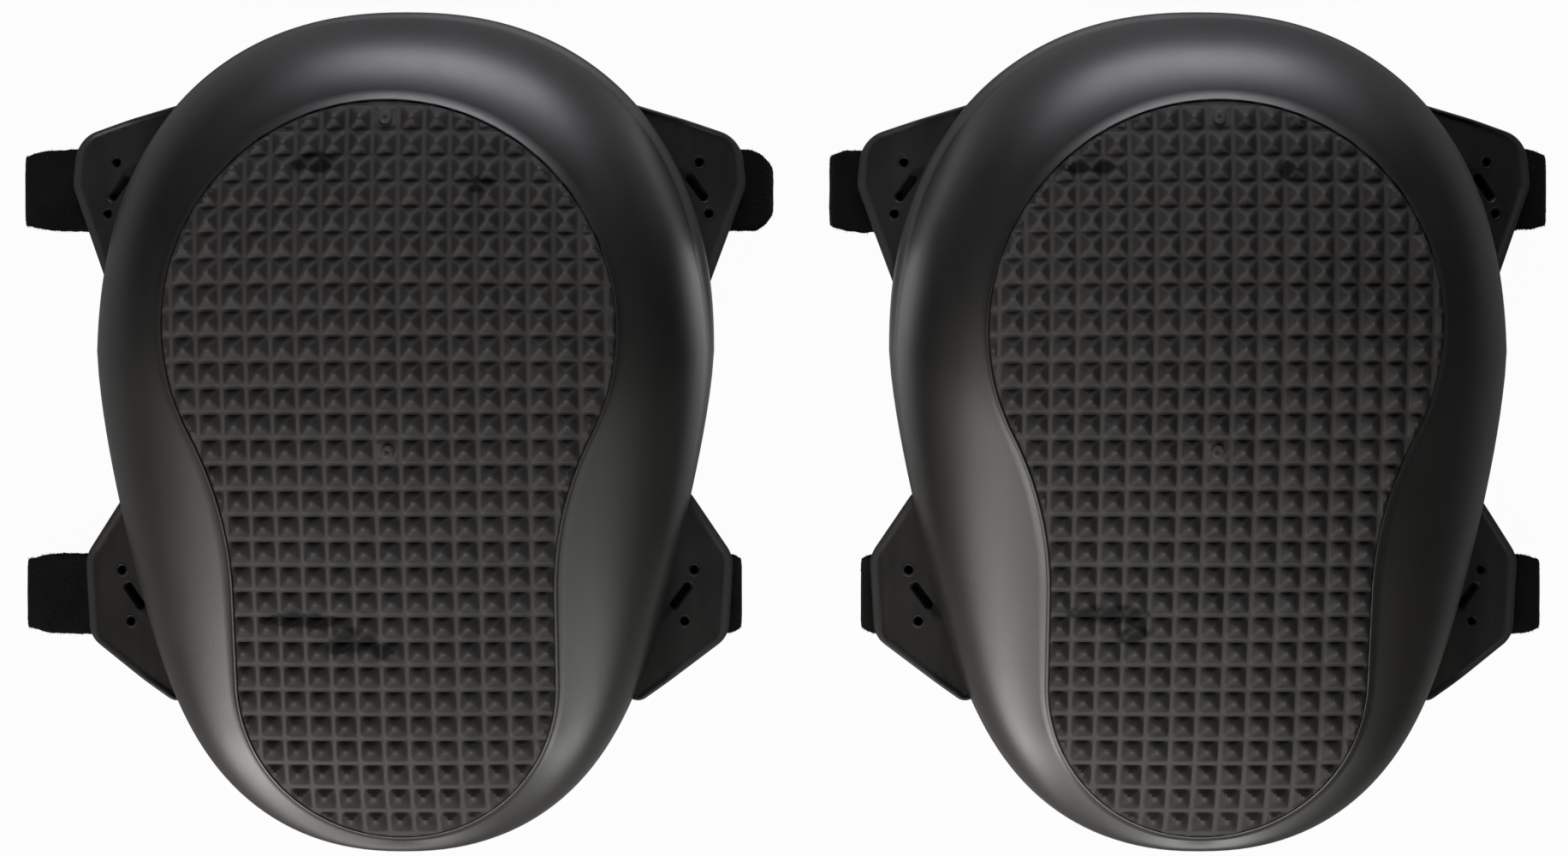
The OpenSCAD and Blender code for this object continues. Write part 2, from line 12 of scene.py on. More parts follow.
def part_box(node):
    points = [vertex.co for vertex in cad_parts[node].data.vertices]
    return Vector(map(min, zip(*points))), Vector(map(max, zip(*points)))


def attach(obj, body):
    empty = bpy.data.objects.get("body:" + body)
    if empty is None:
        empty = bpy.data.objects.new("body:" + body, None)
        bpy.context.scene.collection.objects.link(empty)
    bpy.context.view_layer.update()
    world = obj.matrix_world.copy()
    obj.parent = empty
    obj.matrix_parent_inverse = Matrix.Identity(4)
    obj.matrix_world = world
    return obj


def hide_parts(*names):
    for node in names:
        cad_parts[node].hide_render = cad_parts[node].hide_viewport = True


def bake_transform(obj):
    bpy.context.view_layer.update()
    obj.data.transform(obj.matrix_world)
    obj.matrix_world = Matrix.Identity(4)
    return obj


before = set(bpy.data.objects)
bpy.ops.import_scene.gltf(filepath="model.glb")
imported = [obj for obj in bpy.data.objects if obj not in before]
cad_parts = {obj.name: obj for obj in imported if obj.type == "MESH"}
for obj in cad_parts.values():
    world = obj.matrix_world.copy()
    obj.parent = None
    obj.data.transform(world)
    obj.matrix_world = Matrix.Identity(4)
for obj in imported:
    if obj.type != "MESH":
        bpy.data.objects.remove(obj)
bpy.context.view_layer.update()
scene = bpy.context.scene

MM = 0.001
SIDES = ("left", "right")
LEVELS = ("upper", "lower")


def by_level(upper, lower):
    """Lengths in mm at a pad's two levels."""
    return {"upper": np.array(upper) * MM, "lower": np.array(lower) * MM}


def turns(n):
    """The angles of n equal steps round a circle."""
    return np.arange(n) * 2 * pi / n


def toward(a):
    return np.array([cos(a), sin(a)])


# Cap, as in the CAD frame
CAP_HALF_W = 88.5 * MM
CAP_TOP_LEN = 97.5 * MM
CAP_BOTTOM_LEN = 145.5 * MM
CAP_SQUARENESS = 2.27
CAP_WAIST = 0.07
WAIST_FADE = 1.3
CAP_WALL = 3.5 * MM
CROWN_H = 80 * MM
RIM_Z = 20 * MM
WIDEST_Y = (CAP_BOTTOM_LEN - CAP_TOP_LEN) / 2
CAP_TOP_Y = WIDEST_Y + CAP_TOP_LEN
CAP_BOTTOM_Y = WIDEST_Y - CAP_BOTTOM_LEN

# Crown
PEAK_Y = CAP_TOP_Y - 70 * MM
BROW_R = 170 * MM
SHIN_SLOPE = 0.31
SHIN_BLEND = 50 * MM
TOE_Y = CAP_BOTTOM_Y + 35 * MM
TOE_R = 60 * MM
CROSS_R = 220 * MM
WALL_PULL = 0.62
SHOULDER_PULL = 0.62
SHOULDER_FALL = 0.2

# Tread
KNEE_R = 63.8 * MM
SHIN_R = 45.5 * MM
FLANK_R = 100 * MM
TREAD_TOP_Y = CAP_TOP_Y - 29 * MM
KNEE_Y = TREAD_TOP_Y - KNEE_R
SHIN_Y = KNEE_Y - 101.5 * MM
TREAD_BOTTOM_Y = SHIN_Y - SHIN_R
TREAD_MID_Y = (TREAD_TOP_Y + TREAD_BOTTOM_Y) / 2
FLANK_X = SHIN_R + FLANK_R
FLANK_Y = KNEE_Y - sqrt((KNEE_R + FLANK_R) ** 2 - FLANK_X ** 2)
KNEE_END_Y = KNEE_Y + (FLANK_Y - KNEE_Y) * KNEE_R / (KNEE_R + FLANK_R)
STUD_PITCH = 7.2 * MM
STUD_H = 3.2 * MM
STUD_COLUMNS = 2 * ceil(KNEE_R / STUD_PITCH + 0.5) - 1
STUD_ROWS = ceil((TREAD_TOP_Y - TREAD_BOTTOM_Y) / STUD_PITCH) + 1
STUD_CUTS = (0.0, 0.06, 0.15, 0.26, 0.38, 0.5, 0.62, 0.74, 0.85, 0.94)
STUD_CELLS = len(STUD_CUTS)
POCKET_DEPTH = 2.5 * MM

# Cushion
UNDER_CAP = POCKET_DEPTH + CAP_WALL
FOAM_GAP = 0.4 * MM
FOAM_TOP = UNDER_CAP + FOAM_GAP
FOAM_UNDER = FOAM_TOP + 14 * MM
FOAM_OUT = CAP_WALL + FOAM_GAP
FOAM_IN = FOAM_OUT + 12 * MM
LINING_T = 1.2 * MM
LINING_GAP = 0.3 * MM

# Ears, straps and rivets
EAR_T = 2.2 * MM
EAR_TILT = radians(17)
DOWN_EAR = toward(-EAR_TILT)
OFF_EAR = np.array([sin(EAR_TILT), cos(EAR_TILT)])
STRAP_W = 24 * MM
STRAP_T = 1.6 * MM
STRAP_Y = {"upper": CAP_TOP_Y - 49.5 * MM, "lower": CAP_BOTTOM_Y + 73 * MM}
BEND_OUT = by_level(2.1, 3.3)
EAR_REACH = by_level(18.6, 19.5)
FOLD_OUT = by_level(5, -1.5)
TAB_OUT = {"left": by_level(15.5, 19.5), "right": by_level(4, 6.5)}
TAB_RUN = 46 * MM
STRAP_SHORT = 8 * MM
FLOOR_RUN_Z = STRAP_T / 2
TAB_RUN_Z = 3.6 * MM
BAND_START = 0.4 * MM

AROUND = 192
ANGLES = turns(AROUND)
ROUND_STEPS = 28
SQUARE = ((-1, -1), (1, -1), (1, 1), (-1, 1))


def spow(v, e):
    """A power that keeps the sign."""
    return np.sign(v) * np.abs(v) ** e


def outline(a, grow=0.0):
    """The cap's outline at the angles a, grown outwards, as x and y."""
    oval = spow(np.sin(a), 2 / CAP_SQUARENESS)
    pull = np.clip(np.sin(pi * np.abs(oval)), 0, 1) ** WAIST_FADE
    half = np.where(oval < 0, 1 - CAP_WAIST * pull, 1.0) * CAP_HALF_W
    length = np.where(oval > 0, CAP_TOP_LEN, CAP_BOTTOM_LEN)
    x = (half + grow) * spow(np.cos(a), 2 / CAP_SQUARENESS)
    return x, WIDEST_Y + (length + grow) * oval


def cap_x(y, grow=0.0):
    """Half of the cap's width at the height y up the leg."""
    length = np.where(np.asarray(y) > WIDEST_Y, CAP_TOP_LEN, CAP_BOTTOM_LEN) + grow
    share = np.clip((np.asarray(y) - WIDEST_Y) / length, -1, 1)
    return outline(np.arcsin(spow(share, CAP_SQUARENESS / 2)), grow)[0]


def chord(r, d):
    """Half the chord of a circle at a distance from its middle."""
    return np.sqrt(np.maximum(0, r * r - d * d))


def tread_half_w(y):
    """Half of the tread's width at the height y up the leg."""
    return np.select(
        [y > KNEE_END_Y, y > FLANK_Y, y > SHIN_Y],
        [chord(KNEE_R, y - KNEE_Y), FLANK_X - chord(FLANK_R, y - FLANK_Y), SHIN_R],
        chord(SHIN_R, y - SHIN_Y))


def tread_point(a, share=1.0):
    """The tread's outline at the angles a, drawn in towards its middle by a share."""
    y = outline(a)[1]
    y = TREAD_BOTTOM_Y + (y - CAP_BOTTOM_Y) * (TREAD_TOP_Y - TREAD_BOTTOM_Y) / (CAP_TOP_Y - CAP_BOTTOM_Y)
    return share * np.sign(np.cos(a)) * tread_half_w(y), TREAD_MID_Y + share * (y - TREAD_MID_Y)


def crown(x, y):
    """Height of the crown under the studs."""
    brow = np.maximum(0, y - PEAK_Y) ** 2 / (2 * BROW_R)
    shin = SHIN_SLOPE * (np.sqrt(np.maximum(0, PEAK_Y - y) ** 2 + SHIN_BLEND ** 2) - SHIN_BLEND)
    toe = np.maximum(0, TOE_Y - y) ** 2 / (2 * TOE_R)
    return CROWN_H - brow - shin - toe - x * x / (2 * CROSS_R)


def on_crown(x, y, lift=0.0):
    return np.stack([x, y, crown(x, y) + lift], axis=1)


def crown_ring(share, lower):
    return on_crown(*tread_point(ANGLES, share), -lower)


def raised(ring, z):
    """Points in plan, set at the height z."""
    return np.column_stack([ring, np.full(len(ring), z)])


def flat_ring(grow, z):
    """The cap's outline, grown outwards, at the height z."""
    return raised(np.stack(outline(ANGLES, grow), axis=1), z)


def circle(centre, r, n=ROUND_STEPS):
    return np.array([centre + r * toward(a) for a in turns(n)])


def unit(v):
    return v / np.linalg.norm(v)


def outward(ring):
    """Unit vectors in plan that point out of a ring of points."""
    along = np.roll(ring, -1, axis=0) - np.roll(ring, 1, axis=0)
    out = np.stack([along[:, 1], -along[:, 0]], axis=1)
    return out / np.linalg.norm(out, axis=1)[:, None]


def tread_ring(out, lift):
    """The tread's outline moved outwards in plan, and lifted off the crown."""
    ring = np.stack(tread_point(ANGLES), axis=1)
    return on_crown(*(ring + out * outward(ring)).T, lift)


def shoulder_rings(foot, head, steps):
    """Rings on the curve from an upright foot to the head, without those two."""
    out = SHOULDER_PULL * (foot - head)[:, :2]
    rise = WALL_PULL * (head - foot)[:, 2:]
    low = np.hstack([foot[:, :2], foot[:, 2:] + rise])
    fall = SHOULDER_FALL * np.linalg.norm(out, axis=1)[:, None]
    high = np.hstack([head[:, :2] + out, head[:, 2:] - fall])
    rings = []
    for k in range(1, steps):
        t = k / steps
        u = 1 - t
        rings.append(u ** 3 * foot + 3 * u * u * t * low + 3 * u * t * t * high + t ** 3 * head)
    return rings


class Shape:
    """Points and faces that are collected before they become a mesh."""

    def __init__(self):
        self.points = []
        self.faces = []

    def add(self, points, faces):
        first = len(self.points)
        self.points.extend(tuple(float(c) for c in p) for p in points)
        self.faces.extend(tuple(first + i for i in f) for f in faces)
        return self

    def loft(self, rings, start_cap=True, end_cap=True):
        """A skin through rings that have equally many points, with fans that close its ends."""
        n = len(rings[0])
        points = [p for r in rings for p in r]
        faces = []
        for k in range(len(rings) - 1):
            for i in range(n):
                j = (i + 1) % n
                faces.append((k * n + i, k * n + j, (k + 1) * n + j, (k + 1) * n + i))
        for wanted, first in ((start_cap, 0), (end_cap, (len(rings) - 1) * n)):
            if wanted:
                points.append(np.mean(points[first:first + n], axis=0))
                faces.extend((first + i, first + (i + 1) % n, len(points) - 1) for i in range(n))
        return self.add(points, faces)


class Pad:
    """One of the two pads: its side, and how its own frame lies in the pair."""

    def __init__(self, side):
        low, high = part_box(f"{side}_cap")
        self.side = side
        self.body = f"{side}_pad"
        self.turn = -1 if side == "left" else 1
        self.centre = (low.x + high.x) / 2
        self.tab_out = TAB_OUT[side]

    def place(self, point):
        return (self.centre + self.turn * point[0], point[1], point[2])


PADS = [Pad(side) for side in SIDES]

# Angles up to which faces are shaded as one, and how close points are welded
SMOOTH_DEG = {"tread": 30.0, "ear": 35.0, "hook": 30.0, "strap": 60.0}
SMOOTH_USUAL = 40.0
WELD = 1e-6


def put(name, data):
    """An object in the scene for a mesh, a lamp or a camera."""
    made = bpy.data.objects.new(name, data)
    scene.collection.objects.link(made)
    return made


def make_piece(pad, name, shape, look):
    """A mesh object of a shape that is drawn in the pad's own frame."""
    mesh = bpy.data.meshes.new(name)
    mesh.from_pydata([pad.place(p) for p in shape.points], [], shape.faces)
    bm = bmesh.new()
    bm.from_mesh(mesh)
    bmesh.ops.remove_doubles(bm, verts=bm.verts, dist=WELD)
    bmesh.ops.recalc_face_normals(bm, faces=bm.faces)
    bm.to_mesh(mesh)
    bm.free()
    mesh.shade_smooth()
    mesh.set_sharp_from_angle(angle=radians(SMOOTH_DEG.get(look, SMOOTH_USUAL)))
    mesh.materials.append(LOOKS[look])
    return put(name, mesh)


def dress(pad, name, shape, look, *nodes, slot=None):
    """A piece that rides on the pad's body and stands for CAD nodes."""
    piece = make_piece(pad, name, shape, look)
    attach(piece, pad.body)
    if nodes:
        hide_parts(*nodes)
    return piece


def points_of(piece):
    return np.array([v.co for v in piece.data.vertices])


def write_layer(piece, name, values):
    """Stores a value from 0 to 1 at each point of a piece, for its material."""
    layer = piece.data.attributes.new(name, "FLOAT", "POINT")
    layer.data.foreach_set("value", np.asarray(values, dtype=np.float32))


def fade(value, none, full):
    """Rises from 0 to 1 between two values."""
    return np.clip((value - none) / (full - none), 0, 1)


def rough_noise(points, scale):
    return np.array([noise.noise(Vector(p) * scale) for p in points])


def in_spots(u, v, spots):
    """How far points lie inside oval spots: places, half lengths and half widths in mm, and turns."""
    inside = []
    for at_u, at_v, half_l, half_w, turn in spots:
        du, dv = u / MM - at_u, v / MM - at_v
        c, s = toward(turn)
        along, across = du * c + dv * s, dv * c - du * s
        inside.append(1 - (along / half_l) ** 2 - (across / half_w) ** 2)
    return np.max(inside, axis=0)


class Look:
    """A procedural material, or the world: a shader and the nodes that drive it."""

    def __init__(self, name, kind=bpy.data.materials, shader="Principled BSDF", **sockets):
        self.owner = kind.new(name)
        self.owner.use_nodes = True
        self.tree = self.owner.node_tree
        self.shader = self.tree.nodes[shader]
        self.feed(self.shader, sockets)

    def feed(self, node, inputs):
        """Links or sets a node's inputs, which are given by number or by name."""
        for key, value in inputs.items():
            socket = node.inputs[key if isinstance(key, int) else key.replace("_", " ")]
            if isinstance(value, bpy.types.NodeSocket):
                self.tree.links.new(value, socket)
            else:
                socket.default_value = value

    def node(self, kind, settings=None, **inputs):
        made = self.tree.nodes.new("ShaderNode" + kind)
        for key, value in (settings or {}).items():
            setattr(made, key, value)
        self.feed(made, inputs)
        return made

    def place(self):
        return self.node("TexCoord").outputs["Object"]

    def noise(self, scale, detail=4.0, roughness=0.55, stretch=(1.0, 1.0, 1.0)):
        place = self.node("Mapping", Vector=self.place(), Scale=stretch).outputs[0]
        made = self.node("TexNoise", Vector=place, Scale=scale, Detail=detail, Roughness=roughness)
        return made.outputs["Fac"]

    def layer(self, name, most=1.0):
        """A value that is stored at each point of a piece, up to the most."""
        stored = self.node("Attribute", {"attribute_name": name}).outputs["Fac"]
        return self.ranged(stored, 0.0, most)

    def ramp(self, value, stops):
        """A colour between two stops, each a value and its colour."""
        made = self.node("ValToRGB", Fac=value)
        for item, (at, colour) in zip(made.color_ramp.elements, stops):
            item.position = at
            item.color = (*colour, 1.0)
        return made.outputs["Color"]

    def mixed(self, share, under, colour):
        """Lays a share of a colour over what is under it."""
        return self.node("MixRGB", Fac=share, Color1=under, Color2=(*colour, 1.0)).outputs["Color"]

    def math(self, operation, a, b, clamp=False):
        made = self.node("Math", {"operation": operation, "use_clamp": clamp})
        self.feed(made, {0: a, 1: b})
        return made.outputs[0]

    def ranged(self, value, low, high):
        """A value from 0 to 1 that is spread from low to high."""
        return self.node("MapRange", Value=value, To_Min=low, To_Max=high).outputs[0]

    def bump(self, height, depth, strength, **under):
        made = self.node("Bump", Height=height, Distance=depth * MM, Strength=strength, **under)
        return made.outputs["Normal"]

    def finish(self, **links):
        self.feed(self.shader, links)
        return self.owner


def grey(value, warm=0.0):
    """A grey of that linear value, a little warmer or cooler."""
    return (value * (1 + warm), value, value * (1 - warm))


# Linear colours: ramps from dark to light for each material, and what lies over them
CAP_BODY = [(0.3, grey(0.006, 0.02)), (0.7, grey(0.010, 0.05))]
# Partly dust, partly painted light: a lighter warm haze on the cap towards the shin
CAP_DUST_AND_LIGHT = grey(0.010, 0.07)
# Painted reflection: a lighter olive grey along the rim's flare on the upper half
CAP_RIM_REFLECTION = grey(0.06, 0.06)
TREAD_BODY = [(0.3, grey(0.020, 0.03)), (0.7, grey(0.038, 0.05))]
# Worn stud tips, and a painted highlight on the gate stubs
TREAD_WEAR_AND_HIGHLIGHT = grey(0.10, 0.04)
TREAD_DUST = grey(0.062, 0.05)
TREAD_STAIN = grey(0.004, -0.05)
EAR_BODY = [(0.3, grey(0.011)), (0.75, grey(0.027, 0.03))]
# Lighter rolled edge: partly rubbed wear, partly a painted highlight
EAR_RUB_AND_HIGHLIGHT = grey(0.045, 0.03)
# Dark patches round the slot and towards the cap
EAR_DARK_PATCH = grey(0.002)
STRAP_BODY = [(0.3, grey(0.003)), (0.75, grey(0.007, 0.03))]
FOAM_BODY = [(0.3, grey(0.030)), (0.7, grey(0.048, 0.02))]
LINING_BODY = [(0.3, grey(0.016, -0.03)), (0.7, grey(0.028, -0.02))]
HOOK_BODY = [(0.3, grey(0.010)), (0.7, grey(0.02))]
RIVET_BODY = [(0.45, grey(0.010)), (0.8, grey(0.022, 0.02))]
THREAD_BODY = [(0.3, grey(0.012)), (0.7, grey(0.03))]

# Heights up the leg between which the caps' lighter haze, partly dust and partly painted light, fades
# out
SHIN_DUST_AND_LIGHT_FULL = -50 * MM
SHIN_DUST_AND_LIGHT_NONE = 12 * MM


def cap_look():
    """Satin moulded plastic: cloudy gloss, fine grain, hair scratches, a painted reflection on the rim
    and a haze on the shin, partly dust and partly painted light.
    """
    look = Look("cap_plastic", Roughness=0.40, Specular_IOR_Level=0.95)
    clouds = look.noise(22.0, 5.0)
    scratches = look.noise(95.0, 3.0, 0.6, (1.0, 0.12, 1.0))
    up_leg = look.node("SeparateXYZ", Vector=look.place()).outputs["Y"]
    shin = look.node("MapRange", {"interpolation_type": "SMOOTHSTEP"}, Value=up_leg,
                     From_Min=SHIN_DUST_AND_LIGHT_FULL, From_Max=SHIN_DUST_AND_LIGHT_NONE, To_Min=1.0, To_Max=0.0).outputs[0]
    # Lighter haze towards the shin: partly dust, partly painted light
    dust_and_light_share = look.math("MULTIPLY", shin, look.ranged(look.noise(35.0, 6.0, 0.6), 0.5, 1.3))
    with_dust_and_light = look.mixed(dust_and_light_share, look.ramp(clouds, CAP_BODY), CAP_DUST_AND_LIGHT)
    # Painted reflection along the rim's flare, broken up by the scratches
    rim_reflection_share = look.math("MULTIPLY", look.layer("rim_reflection"), look.ranged(scratches, 0.4, 1.0))
    colour = look.mixed(rim_reflection_share, with_dust_and_light, CAP_RIM_REFLECTION)
    rough = look.math("ADD", look.ranged(clouds, 0.37, 0.47), look.ranged(scratches, -0.04, 0.06))
    grain = look.bump(look.noise(2600.0, 2.0), 0.06, 0.35)
    marks = look.bump(scratches, 0.08, 0.25, Normal=grain)
    return look.finish(Base_Color=colour, Roughness=rough, Normal=marks)


def tread_look():
    """Moulded rubber: greyed where it is rubbed, with a painted highlight on the gate stubs, dusty in
    the grooves and dark where it is stained.
    """
    look = Look("tread_rubber", Roughness=0.62, Specular_IOR_Level=0.25)
    dust = look.noise(60.0, 6.0, 0.65)
    grit = look.noise(900.0, 3.0)
    # Lighter at worn tips, and a painted highlight on the gate stubs
    rubbed = look.mixed(look.layer("worn", 0.55), look.ramp(dust, TREAD_BODY), TREAD_WEAR_AND_HIGHLIGHT)
    settled = look.math("MULTIPLY", look.layer("dusty"), look.ranged(dust, 0.55, 1.15), clamp=True)
    dusted = look.mixed(settled, rubbed, TREAD_DUST)
    stained = look.mixed(look.layer("stain", 0.95), dusted, TREAD_STAIN)
    rough = look.math("ADD", look.ranged(dust, 0.50, 0.70), look.ranged(grit, -0.05, 0.05))
    return look.finish(Base_Color=stained, Roughness=rough, Normal=look.bump(grit, 0.12, 0.5))


def ear_look():
    """Matt flexible plastic with drawn streaks, a lighter rolled edge, partly rubbed and partly a
    painted highlight, and dark patches.
    """
    look = Look("ear_plastic", Roughness=0.5, Specular_IOR_Level=0.3)
    streaks = look.noise(160.0, 4.0, 0.6, (1.0, 0.15, 1.0))
    clouds = look.noise(45.0, 5.0)
    drawn = look.math("ADD", look.ranged(clouds, 0.0, 0.6), look.ranged(streaks, 0.0, 0.4))
    # Lighter rolled edge: partly rubbed wear, partly a painted highlight
    rubbed = look.mixed(look.layer("rubbed", 0.8), look.ramp(drawn, EAR_BODY), EAR_RUB_AND_HIGHLIGHT)
    # Darker and rougher in patches round the slot and towards the cap
    colour = look.mixed(look.layer("dark_patch", 0.9), rubbed, EAR_DARK_PATCH)
    rough = look.math("ADD", look.ranged(streaks, 0.38, 0.58), look.layer("dark_patch", 0.45), clamp=True)
    return look.finish(Base_Color=colour, Roughness=rough, Normal=look.bump(streaks, 0.18, 0.45))


def strap_look():
    """Deep black loop pile: dull, with a faint sheen on its fibres."""
    look = Look("strap_pile", Roughness=0.95, Specular_IOR_Level=0.08,
                Sheen_Weight=0.02, Sheen_Roughness=0.6)
    loops = look.node("TexVoronoi", {"feature": "SMOOTH_F1"}, Vector=look.place(), Scale=1100.0)
    colour = look.ramp(look.noise(70.0, 5.0, 0.65), STRAP_BODY)
    return look.finish(Base_Color=colour, Normal=look.bump(loops.outputs["Distance"], 0.4, 0.8))


def foam_look():
    """Closed-cell foam: fine pits and soft blotches."""
    look = Look("cushion_foam", Roughness=0.85, Specular_IOR_Level=0.2)
    cells = look.node("TexVoronoi", Vector=look.place(), Scale=900.0).outputs["Distance"]
    colour = look.ramp(look.noise(40.0, 4.0), FOAM_BODY)
    return look.finish(Base_Color=colour, Normal=look.bump(cells, 0.3, 0.6))


def lining_look():
    """Brushed knit: crossing ribs under a short nap."""
    look = Look("cushion_knit", Roughness=0.9, Specular_IOR_Level=0.2,
                Sheen_Weight=0.15, Sheen_Roughness=0.5)
    place = look.place()
    ribs = look.node("TexWave", {"bands_direction": "X"}, Vector=place, Scale=260.0, Distortion=1.5)
    rows = look.node("TexWave", {"bands_direction": "Y"}, Vector=place, Scale=190.0, Distortion=1.5)
    knit = look.math("MULTIPLY", ribs.outputs["Fac"], rows.outputs["Fac"])
    nap = look.bump(look.noise(1500.0, 2.0), 0.2, 0.4)
    colour = look.ramp(look.noise(50.0, 5.0), LINING_BODY)
    return look.finish(Base_Color=colour, Normal=look.bump(knit, 0.3, 0.6, Normal=nap))


def hook_look():
    """Moulded hook tape."""
    look = Look("hook_tape", Roughness=0.55, Specular_IOR_Level=0.35)
    colour = look.ramp(look.noise(120.0, 4.0), HOOK_BODY)
    return look.finish(Base_Color=colour, Normal=look.bump(look.noise(1800.0), 0.1, 0.4))


def rivet_look():
    """Blackened tubular rivets, a little rubbed on their rolled heads."""
    look = Look("rivet_black", Roughness=0.5, Specular_IOR_Level=0.4)
    rubbed = look.noise(700.0, 4.0)
    return look.finish(Base_Color=look.ramp(rubbed, RIVET_BODY), Roughness=look.ranged(rubbed, 0.4, 0.6))


def thread_look():
    """Twisted sewing thread."""
    look = Look("sewing_thread", Roughness=0.7, Specular_IOR_Level=0.3, Sheen_Weight=0.1)
    twist = look.noise(2500.0, 2.0)
    return look.finish(Base_Color=look.ramp(twist, THREAD_BODY), Normal=look.bump(twist, 0.1, 0.5))


LOOKS = {
    "cap": cap_look(), "tread": tread_look(), "ear": ear_look(), "strap": strap_look(),
    "foam": foam_look(), "lining": lining_look(), "hook": hook_look(), "rivet": rivet_look(),
    "thread": thread_look(),
}

# Cross-section of the cap: the lip round the tread, as steps outwards and up, and the rim, as steps
# outwards round the upper half, where it flares, steps outwards round the lower half, and steps up
LIP = [(0.15, -2.5), (0.15, -0.2), (0.2, 0.1), (0.35, 0.38), (0.6, 0.5), (0.9, 0.42), (1.2, 0.2)]
LIP_FOOT = 1.5 * MM
RIM = [(-1.0, 1.6, 8.5), (-0.97, 1.65, 7.7), (-0.8, 1.72, 6.8), (-0.45, 1.8, 5.9), (0.1, 1.88, 5.0),
       (0.75, 1.96, 4.2), (1.4, 2.04, 3.5), (1.9, 2.1, 2.8), (2.15, 2.15, 2.0), (2.2, 2.2, 1.0),
       (1.95, 1.95, 0.3), (1.4, 1.4, 0.0), (-3.0, -3.0, 0.0), (-3.5, -3.5, 0.4)]
FLARE_FADE = 0.8
SHOULDER_STEPS = 26
INNER_STEPS = 8
POCKET_SHARES = (0.3, 0.66)
INNER_SHARES = (0.95, 0.6, 0.25)


def rim_ring(flared, flush, up):
    """A ring of the rim, which flares round the upper half and comes down flush below it."""
    share = np.clip(0.5 + spow(np.sin(ANGLES), 2 / CAP_SQUARENESS) / FLARE_FADE, 0, 1)
    share = share * share * (3 - 2 * share)
    return flat_ring((flush + share * (flared - flush)) * MM, RIM_Z + up * MM)


def cap_shape():
    rings = [crown_ring(share, POCKET_DEPTH) for share in POCKET_SHARES]
    rings += [tread_ring(out * MM, up * MM) for out, up in LIP]
    head = tread_ring(LIP_FOOT, 0.0)
    rim = [rim_ring(*steps) for steps in RIM]
    rings += [head, *reversed(shoulder_rings(rim[0], head, SHOULDER_STEPS)), *rim]
    inner = [crown_ring(share, UNDER_CAP) for share in INNER_SHARES]
    rings += shoulder_rings(rings[-1], inner[0], INNER_STEPS) + inner
    return Shape().loft(rings)


# Painted reflection on the rim: the middle and the spread of the lighter band over the foot, and where
# it fades out
RIM_REFLECTION_UP = 4.6 * MM
RIM_REFLECTION_SPREAD = 2.0 * MM
RIM_REFLECTION_NONE_Y = -10 * MM
RIM_REFLECTION_FULL_Y = 60 * MM


def paint_cap(piece):
    """Writes where a painted reflection lightens the cap: along the rim's flare, on the upper half."""
    co = points_of(piece)
    outside = np.array([v.normal.z for v in piece.data.vertices]) > 0
    band = np.exp(-((co[:, 2] - RIM_Z - RIM_REFLECTION_UP) / RIM_REFLECTION_SPREAD) ** 2)
    upper = fade(co[:, 1], RIM_REFLECTION_NONE_Y, RIM_REFLECTION_FULL_Y)
    write_layer(piece, "rim_reflection", band * upper * outside)


# Studs: how sharp their ridges are, how much of each is groove, how worn their tips are, how they fade
# out at the tread's edge, and the gate stubs, with their profile as radius and height
RIDGE_POWER = 9.0
GROOVE_SHARE = 2 * STUD_CUTS[1]
TIP_SHARE = 0.9
TIP_POWER = 6
EDGE_FADE = 1.2 * MM
EDGE_POWER = 0.5
EDGE_OUT = 0.1 * MM
TREAD_SINK = 1.9 * MM
GATE_ROWS = (16, 29)
GATE_STUBS = [(0.0, TREAD_MID_Y + (row + 0.5 - STUD_ROWS / 2) * STUD_PITCH) for row in GATE_ROWS]
STUB_CLEAR = 3.2 * MM
STUB_FLAT = 0.3 * MM
STUB = [(1.9, -0.5), (1.9, 1.2), (1.8, 1.6), (1.5, 1.85), (1.0, 1.95), (0.6, 1.85), (0.45, 1.6)]
STUB_STEPS = 24
OUTLINE_POINTS = 1600
BASE_SHARES = (0.66, 0.33)


def off_middle(at, count):
    """How far places on a row of studs are from the middles of their studs, up to 1."""
    return np.abs((at / STUD_PITCH + 0.5 * count) % 1 - 0.5) * 2


def stud_height(x, y):
    """Height of the studs over the crown, and the share of the way up to their tips."""
    u, v = off_middle(x, STUD_COLUMNS), off_middle(y - TREAD_MID_Y, STUD_ROWS)
    away = (u ** RIDGE_POWER + v ** RIDGE_POWER) ** (1 / RIDGE_POWER)
    rise = np.clip((1 - away - GROOVE_SHARE) / (1 - GROOVE_SHARE), 0, 1)
    worn = TIP_SHARE * (1 - np.exp(-(rise / TIP_SHARE) ** TIP_POWER)) ** (1 / TIP_POWER)
    return STUD_H * np.where(rise > 0, worn, 0.0), rise


def near_stubs(x, y):
    """Which points are on the flat ground round a gate stub."""
    return np.any([np.hypot(x - at_x, y - at_y) < STUB_CLEAR for at_x, at_y in GATE_STUBS], axis=0)


def add_stubs(shape):
    """Sets a small round stub, dished on top, at each gate."""
    for at in GATE_STUBS:
        base = float(crown(*at))
        shape.loft([raised(circle(at, r * MM, STUB_STEPS), base + h * MM) for r, h in STUB])


def outline_tree():
    """Points close together along the tread's outline in plan, and a tree that finds the nearest."""
    line = np.stack(tread_point(turns(OUTLINE_POINTS)), axis=1)
    tree = KDTree(len(line))
    for i, p in enumerate(line):
        tree.insert((*p, 0.0), i)
    tree.balance()
    return line, tree


def stud_lines(count):
    """Grid lines over a row of studs, from the row's middle."""
    lines = [k + cut for k in range(count) for cut in STUD_CUTS]
    return (np.array([*lines, count]) - count / 2) * STUD_PITCH


